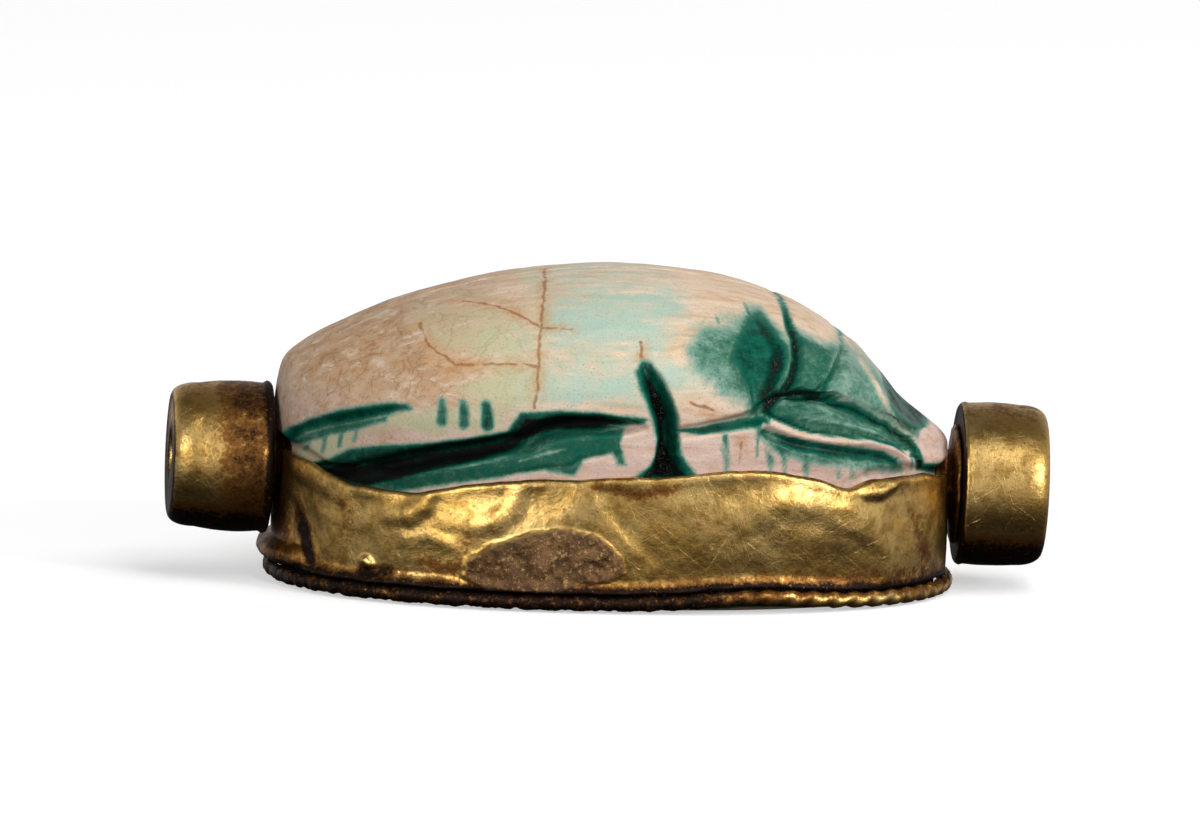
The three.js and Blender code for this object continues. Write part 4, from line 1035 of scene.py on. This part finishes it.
class Finish:
    """A material whose varying looks are built up from nodes."""

    def __init__(self, name, constants):
        self.material = bpy.data.materials.new(name)
        self.material.use_nodes = True
        self.tree = self.material.node_tree
        self.shader = self.tree.nodes["Principled BSDF"]
        for socket, value in constants.items():
            self.shader.inputs[socket].default_value = value
        place = self.node("TexCoord", output="Object")
        self.place = self.vector("SUBTRACT", self.scaled(place, 1 / MM), (BEETLE_MIDDLE / MM, 0, 0))

    def node(self, kind, settings=None, inputs=None, output=0):
        node = self.tree.nodes.new("ShaderNode" + kind)
        for name, value in (settings or {}).items():
            setattr(node, name, value)
        for name, value in (inputs or {}).items():
            if isinstance(value, Value):
                self.tree.links.new(value.socket, node.inputs[name])
            else:
                node.inputs[name].default_value = value
        return Value(self, node.outputs[output])

    def vector(self, operation, first, second, output=0):
        return self.node("VectorMath", {"operation": operation}, {0: first, 1: second}, output)

    def scaled(self, place, factor):
        return self.node("VectorMath", {"operation": "SCALE"}, {0: place, "Scale": factor})

    def attribute(self, name):
        return self.node("Attribute", {"attribute_name": name}, output="Fac")

    def grain(self, scale, detail=3.0, rough=0.55, place=None):
        """Noise from about 0.3 to 0.7, with features of about 1 / scale millimetres."""
        inputs = {"Vector": place or self.place, "Scale": scale, "Detail": detail, "Roughness": rough}
        return self.node("TexNoise", None, inputs)

    def mix(self, factor, first, second):
        """From the first colour to the second; a Mix node has its two colours at sockets 6 and 7."""
        return self.node("Mix", {"data_type": "RGBA"}, {0: factor, 6: first, 7: second}, output=2)

    def ramp(self, value, stops):
        """Colours along a value: stops of (position, colour)."""
        result = self.node("ValToRGB", None, {"Fac": value})
        set_stops(result.socket.node.color_ramp, stops)
        return result

    def cell_edges(self, place, scale):
        """How far a place is from the edges of irregular cells."""
        return self.node("TexVoronoi", {"feature": "DISTANCE_TO_EDGE"}, {"Vector": place, "Scale": scale})

    def moved(self, amount, scale):
        """The place, pushed about by noise so that lines wander."""
        inputs = {"Vector": self.place, "Scale": scale, "Detail": 3.0}
        push = self.node("TexNoise", None, inputs, output="Color")
        centred = self.vector("SUBTRACT", push, (0.5, 0.5, 0.5))
        return self.vector("ADD", self.place, self.scaled(centred, amount))

    def line_distance(self, place, points):
        """How far a place is from a line through the points, in millimetres."""
        distances = []
        for first, second in zip(points, points[1:]):
            step = Vector(second) - Vector(first)
            offset = self.vector("SUBTRACT", place, first)
            dot = self.vector("DOT_PRODUCT", offset, step, output="Value")
            share = dot.math("MULTIPLY", dot, 1 / step.length_squared, clamped=True)
            rest = self.vector("SUBTRACT", offset, self.scaled(step, share))
            distances.append(self.node("VectorMath", {"operation": "LENGTH"}, {0: rest}, output="Value"))
        return lowest(distances)

    def connect(self, **values):
        for name, value in values.items():
            self.tree.links.new(value.socket, self.shader.inputs[name.replace("_", " ")])

    def bump(self, height, strength, distance):
        inputs = {"Height": height, "Strength": strength, "Distance": distance}
        self.connect(Normal=self.node("Bump", None, inputs))


BUMP_HEIGHT = 0.04 * MM


def stone_finish():
    finish = Finish("worn_glazed_steatite", {"IOR": 1.45, "Specular IOR Level": 0.2})
    glaze_and_shade = finish.attribute("glaze_and_shade")
    mint = finish.attribute("mint")
    broad = finish.grain(0.35, 3.0)
    middle = finish.grain(1.6, 5.0, 0.65)
    fine = finish.grain(7.0, 4.0, 0.7)
    speck = finish.grain(18.0, 2.0, 0.6)
    lengthwise = finish.node("Mapping", None, {"Vector": finish.moved(0.3, 0.9), "Scale": (0.35, 1.6, 2.6)})
    brushed = finish.grain(1.5, 4.0, 0.6, lengthwise)
    x = finish.node("SeparateXYZ", None, {0: finish.place}, output="X")
    z = finish.node("SeparateXYZ", None, {0: finish.place}, output="Z")

    cream = finish.mix(broad.between(0.35, 0.65), colour(214, 186, 156), colour(218, 196, 172))
    rosy = finish.mix(z.between(6.6, 4.6) * 0.8, cream, colour(210, 182, 172))
    # The tail end is browned and darkened, most towards its top: brown tone with painted shade.
    tail = x.between(0.0, -7.5)
    shaded = tail * (0.25 + 0.75 * z.between(5.0, 7.2))
    browned_and_shaded = finish.mix(shaded * (0.6 + 0.4 * middle.between(0.35, 0.6)), rosy, colour(172, 138, 104))
    tan = finish.mix(brushed.between(0.48, 0.7) * 0.7, browned_and_shaded, colour(190, 146, 104))
    pale = finish.mix(brushed.between(0.48, 0.3) * 0.5, tan, colour(230, 212, 190))
    brown_spots = fine.between(0.5, 0.7) * (0.3 + 0.7 * middle.between(0.42, 0.6)) * (0.35 + 0.65 * tail)
    stained = finish.mix(brown_spots * 0.6, pale, colour(140, 100, 60))
    streaks = (brushed - 0.5) * 1.9 + (middle - 0.5) * 1.8 + (broad - 0.5) * 1.6
    unsteady = mint.between(0.0, 0.35) * (1.15 - 0.65 * mint)
    film = (mint * 1.25 + streaks * unsteady).between(0.1, 1.15)
    bluish = finish.mix(x.between(-4.0, -1.5), colour(186, 186, 148), colour(164, 192, 176))
    minted = finish.mix(film * 0.9, stained, bluish)
    wander = finish.moved(0.5, 1.6)
    wide_cracks = finish.cell_edges(wander, 0.62).between(0.036, 0.0)
    small_cracks = finish.cell_edges(wander, 1.5).between(0.055, 0.0)
    wide_veins = wide_cracks * middle.between(0.4, 0.55) * (0.12 + 0.88 * tail)
    small_veins = small_cracks * middle.between(0.44, 0.56) * tail
    veins = wide_veins.higher(small_veins) * z.between(5.2, 6.4) * (1.0 - 0.6 * mint)
    veined = finish.mix(veins * 0.62, minted, colour(150, 108, 70))
    place = finish.moved(0.22, 2.5)
    crack = lowest([finish.line_distance(place, points) for points in CRACKS])
    halo = crack.between(0.45, 0.0) * middle.between(0.35, 0.6)
    crack_mask = crack.between(0.08, 0.015) * (0.6 + 0.4 * fine.between(0.3, 0.55))
    haloed = finish.mix(halo * 0.6, veined, colour(190, 138, 86))
    cracked = finish.mix(crack_mask * 0.8, haloed, colour(142, 94, 52))
    dusty = finish.mix(speck.between(0.56, 0.7) * 0.4, cracked, colour(128, 94, 66))

    rough_level = (middle - 0.5) * 0.5 + (fine - 0.5) * 0.3 + (speck - 0.5) * 0.12
    edge = glaze_and_shade + rough_level * glaze_and_shade.between(0.02, 0.2)
    # The glaze colours; the near black at the top of the ramp is painted shade in the depths of the cuts.
    shade = finish.ramp(edge, [
        (0.0, colour(116, 156, 138)), (0.36, colour(108, 148, 132)), (0.48, colour(66, 112, 90)),
        (0.56, colour(36, 90, 72)), (0.66, colour(4, 88, 70)), (0.78, colour(2, 56, 42)),
        (0.9, colour(4, 20, 13)), (1.0, colour(3, 5, 3)),
    ])
    cover = edge.between(0.04, 0.42)
    glazed_and_shaded = finish.mix(cover, dusty, shade)
    gritty = middle.between(0.4, 0.56) * x.between(-1.0, 0.2) * x.between(7.8, 7.0)
    grit = speck.between(0.48, 0.66) * edge.between(0.84, 1.0) * gritty
    finish.connect(Base_Color=finish.mix(grit * 0.42, glazed_and_shaded, colour(140, 138, 130)))
    depth = edge.between(0.75, 0.95)
    finish.connect(Roughness=0.44 - 0.1 * cover + 0.44 * depth + 0.14 * (fine - 0.5))
    pits = fine.between(0.3, 0.42)
    height = pits * 0.4 + middle * 0.6 + speck * 0.3 - crack_mask * 0.8 - veins * 0.25
    finish.bump(height, 0.5, BUMP_HEIGHT)
    return finish.material


def gold_finish():
    finish = Finish("worn_gold", {"Metallic": 1.0})
    crust = finish.attribute("crust")
    dirt_and_shade = finish.attribute("dirt_and_shade")
    broad = finish.grain(0.5, 3.0)
    middle = finish.grain(1.8, 5.0, 0.65)
    fine = finish.grain(8.0, 4.0, 0.7)
    speck = finish.grain(22.0, 2.0, 0.6)
    streaks = []
    for tilt, shift in ((0.65, 0.0), (-0.5, 40.0), (1.2, 80.0), (-1.0, 120.0)):
        inputs = {"Location": (shift, 0.0, shift), "Rotation": (0.0, tilt, 0.0), "Scale": (3.0, 1.0, 0.08)}
        slanted = finish.node("Mapping", {"vector_type": "TEXTURE"}, {"Vector": finish.place, **inputs})
        streaks.append(finish.grain(1.5, 2.0, 0.5, slanted).between(0.685, 0.71))
    crossing = streaks[0].higher(streaks[1]).higher(streaks[2]).higher(streaks[3])
    scratches = crossing * (dirt_and_shade + crust).between(0.5, 0.2)

    warm = finish.mix(broad.between(0.35, 0.65), colour(240, 200, 124), colour(226, 180, 98))
    olive = finish.mix(middle.between(0.44, 0.64) * 0.75, warm, colour(166, 128, 60))
    speckled = finish.mix(fine.between(0.5, 0.7) * 0.5, olive, colour(124, 88, 36))
    # The mask of dirt and painted shade darkens the gold to brown and near black.
    level = dirt_and_shade * 1.3 + (middle - 0.5) * 0.9 + (fine - 0.5) * 0.9
    rubbed = fine.between(0.58, 0.66) * middle.between(0.44, 0.56)
    grime_and_shade = level.between(0.25, 1.1) * dirt_and_shade.between(0.0, 0.2) * (1.0 - 0.6 * rubbed)
    brown = finish.mix(grime_and_shade.between(0.0, 0.45), speckled, colour(146, 98, 46))
    soiled_and_shaded = finish.mix(grime_and_shade.between(0.4, 0.9), brown, colour(34, 20, 12))
    flecks = fine.between(0.54, 0.68)
    baked = finish.mix(middle.between(0.4, 0.6), colour(92, 63, 42), colour(136, 100, 66))
    crusted = finish.mix(crust * 0.95, soiled_and_shaded, finish.mix(flecks, baked, colour(206, 166, 108)))
    finish.connect(Base_Color=finish.mix(scratches * 0.35, crusted, colour(250, 222, 160)))
    finish.connect(Metallic=1.0 - 0.2 * grime_and_shade - 0.3 * crust)
    worn = 0.33 + 0.2 * (middle - 0.5) + 0.16 * (fine - 0.5)
    finish.connect(Roughness=(worn + 0.16 * grime_and_shade + 0.1 * crust).clamped())
    height = middle * 0.6 + fine * 0.65 + speck * 0.25 - scratches * 0.15 + crust * (fine * 4.0 + speck)
    finish.bump(height, 0.55, BUMP_HEIGHT)
    return finish.material


def floor_finish():
    return Finish("white_table", {
        "Base Color": (0.6, 0.6, 0.6, 1.0), "Roughness": 0.9, "Specular IOR Level": 0.1,
        "Emission Color": (1.0, 1.0, 1.0, 1.0), "Emission Strength": 0.5,
    }).material


def put_on(pieces, material):
    for piece in pieces:
        piece.data.materials.clear()
        piece.data.materials.append(material)


# The photograph's view: degrees, and millimetres for the point in the middle of the frame.
VIEW_AZIMUTH = -5.0
VIEW_ELEVATION = 7.5
VIEW_ROLL = 1.58
VIEW_RIGHT = -0.206
VIEW_UP = 4.868
VIEW_DISTANCE = 0.8
LENS = 816.0


def add_camera():
    azimuth = math.radians(VIEW_AZIMUTH)
    elevation = math.radians(VIEW_ELEVATION)
    roll = math.radians(VIEW_ROLL)
    right = Vector((math.cos(azimuth), math.sin(azimuth), 0))
    level = math.cos(elevation)
    back = Vector((math.sin(azimuth) * level, -math.cos(azimuth) * level, math.sin(elevation)))
    up = back.cross(right)
    turned_right = right * math.cos(roll) + up * math.sin(roll)
    turned_up = up * math.cos(roll) - right * math.sin(roll)
    target = Vector((BEETLE_MIDDLE, 0, 0)) + (turned_right * VIEW_RIGHT + turned_up * VIEW_UP) * MM
    deselect_all()
    bpy.ops.object.camera_add()
    camera = bpy.context.active_object
    camera.matrix_world = Matrix((turned_right, turned_up, back)).transposed().to_4x4()
    camera.location = target + back * VIEW_DISTANCE
    camera.data.lens = LENS
    camera.data.sensor_width = 36
    bpy.context.scene.camera = camera


def add_light(name, place, size, power, glossy=True):
    """A softbox in metres and watts, turned towards the object; glossy ones show in the gold."""
    deselect_all()
    bpy.ops.object.light_add(type="AREA", location=place)
    light = bpy.context.active_object
    light.name = name
    light.rotation_euler = (Vector((0, 0, 0.004)) - Vector(place)).to_track_quat("-Z", "Y").to_euler()
    light.data.shape = "RECTANGLE"
    light.data.size, light.data.size_y = size
    light.data.energy = power
    light.visible_glossy = glossy


# How bright the surroundings are by height, from -1 straight down to 1 straight up.
SKY = [
    (-1, 0.003), (-0.7, 0.008), (-0.45, 0.03), (-0.28, 0.12), (-0.12, 0.32), (0, 0.48), (0.15, 0.6),
    (0.3, 0.5), (0.5, 0.26), (0.8, 0.13), (1, 0.1),
]


def add_lights():
    add_light("left_softbox", (-0.3, -0.45, 0.15), (0.1, 0.12), 0.85)
    add_light("right_softbox", (0.42, -0.36, 0.22), (0.09, 0.14), 1.4)
    add_light("top_fill", (0.2, -0.1, 0.55), (0.5, 0.5), 2.1, glossy=False)
    add_light("front_fill", (0.1, -0.6, 0.15), (0.5, 0.3), 0.55, glossy=False)
    add_light("glint", (0.1, -0.34, 0.44), (0.1, 0.06), 0.3)


def add_surroundings():
    """A studio that is brightest at the height of the object, where the gold mirrors it."""
    world = bpy.data.worlds.new("studio")
    bpy.context.scene.world = world
    world.use_nodes = True
    tree = world.node_tree
    direction = tree.nodes.new("ShaderNodeTexCoord")
    split = tree.nodes.new("ShaderNodeSeparateXYZ")
    levels = tree.nodes.new("ShaderNodeValToRGB")
    tree.links.new(direction.outputs["Generated"], split.inputs[0])
    rise = tree.nodes.new("ShaderNodeMapRange")
    rise.inputs["From Min"].default_value = -1
    tree.links.new(split.outputs["Z"], rise.inputs["Value"])
    tree.links.new(rise.outputs[0], levels.inputs[0])
    tree.links.new(levels.outputs[0], tree.nodes["Background"].inputs["Color"])
    set_stops(levels.color_ramp, [((up + 1) / 2, (level, level, level * 1.02, 1.0)) for up, level in SKY])
    bpy.context.scene.view_settings.view_transform = "Standard"


def add_table():
    deselect_all()
    bpy.ops.mesh.primitive_plane_add(size=6, location=(0, 0, -0.00001))
    floor = bpy.context.active_object
    floor.name = "table"
    put_on([floor], floor_finish())
    floor.visible_glossy = False
    floor.visible_diffuse = False


add_camera()
stone = make_stone()
band = make_band()
rim = make_rim()
tail_collar = make_collar("tail_barrel", "tail_collar", TAIL_FACE, -1, TAIL_COLLAR, seed=11)
head_collar = make_collar("head_barrel", "head_collar", HEAD_FACE, 1, HEAD_COLLAR, seed=12)
put_on([stone], stone_finish())
put_on([band, rim, tail_collar, head_collar], gold_finish())
add_lights()
add_surroundings()
add_table()
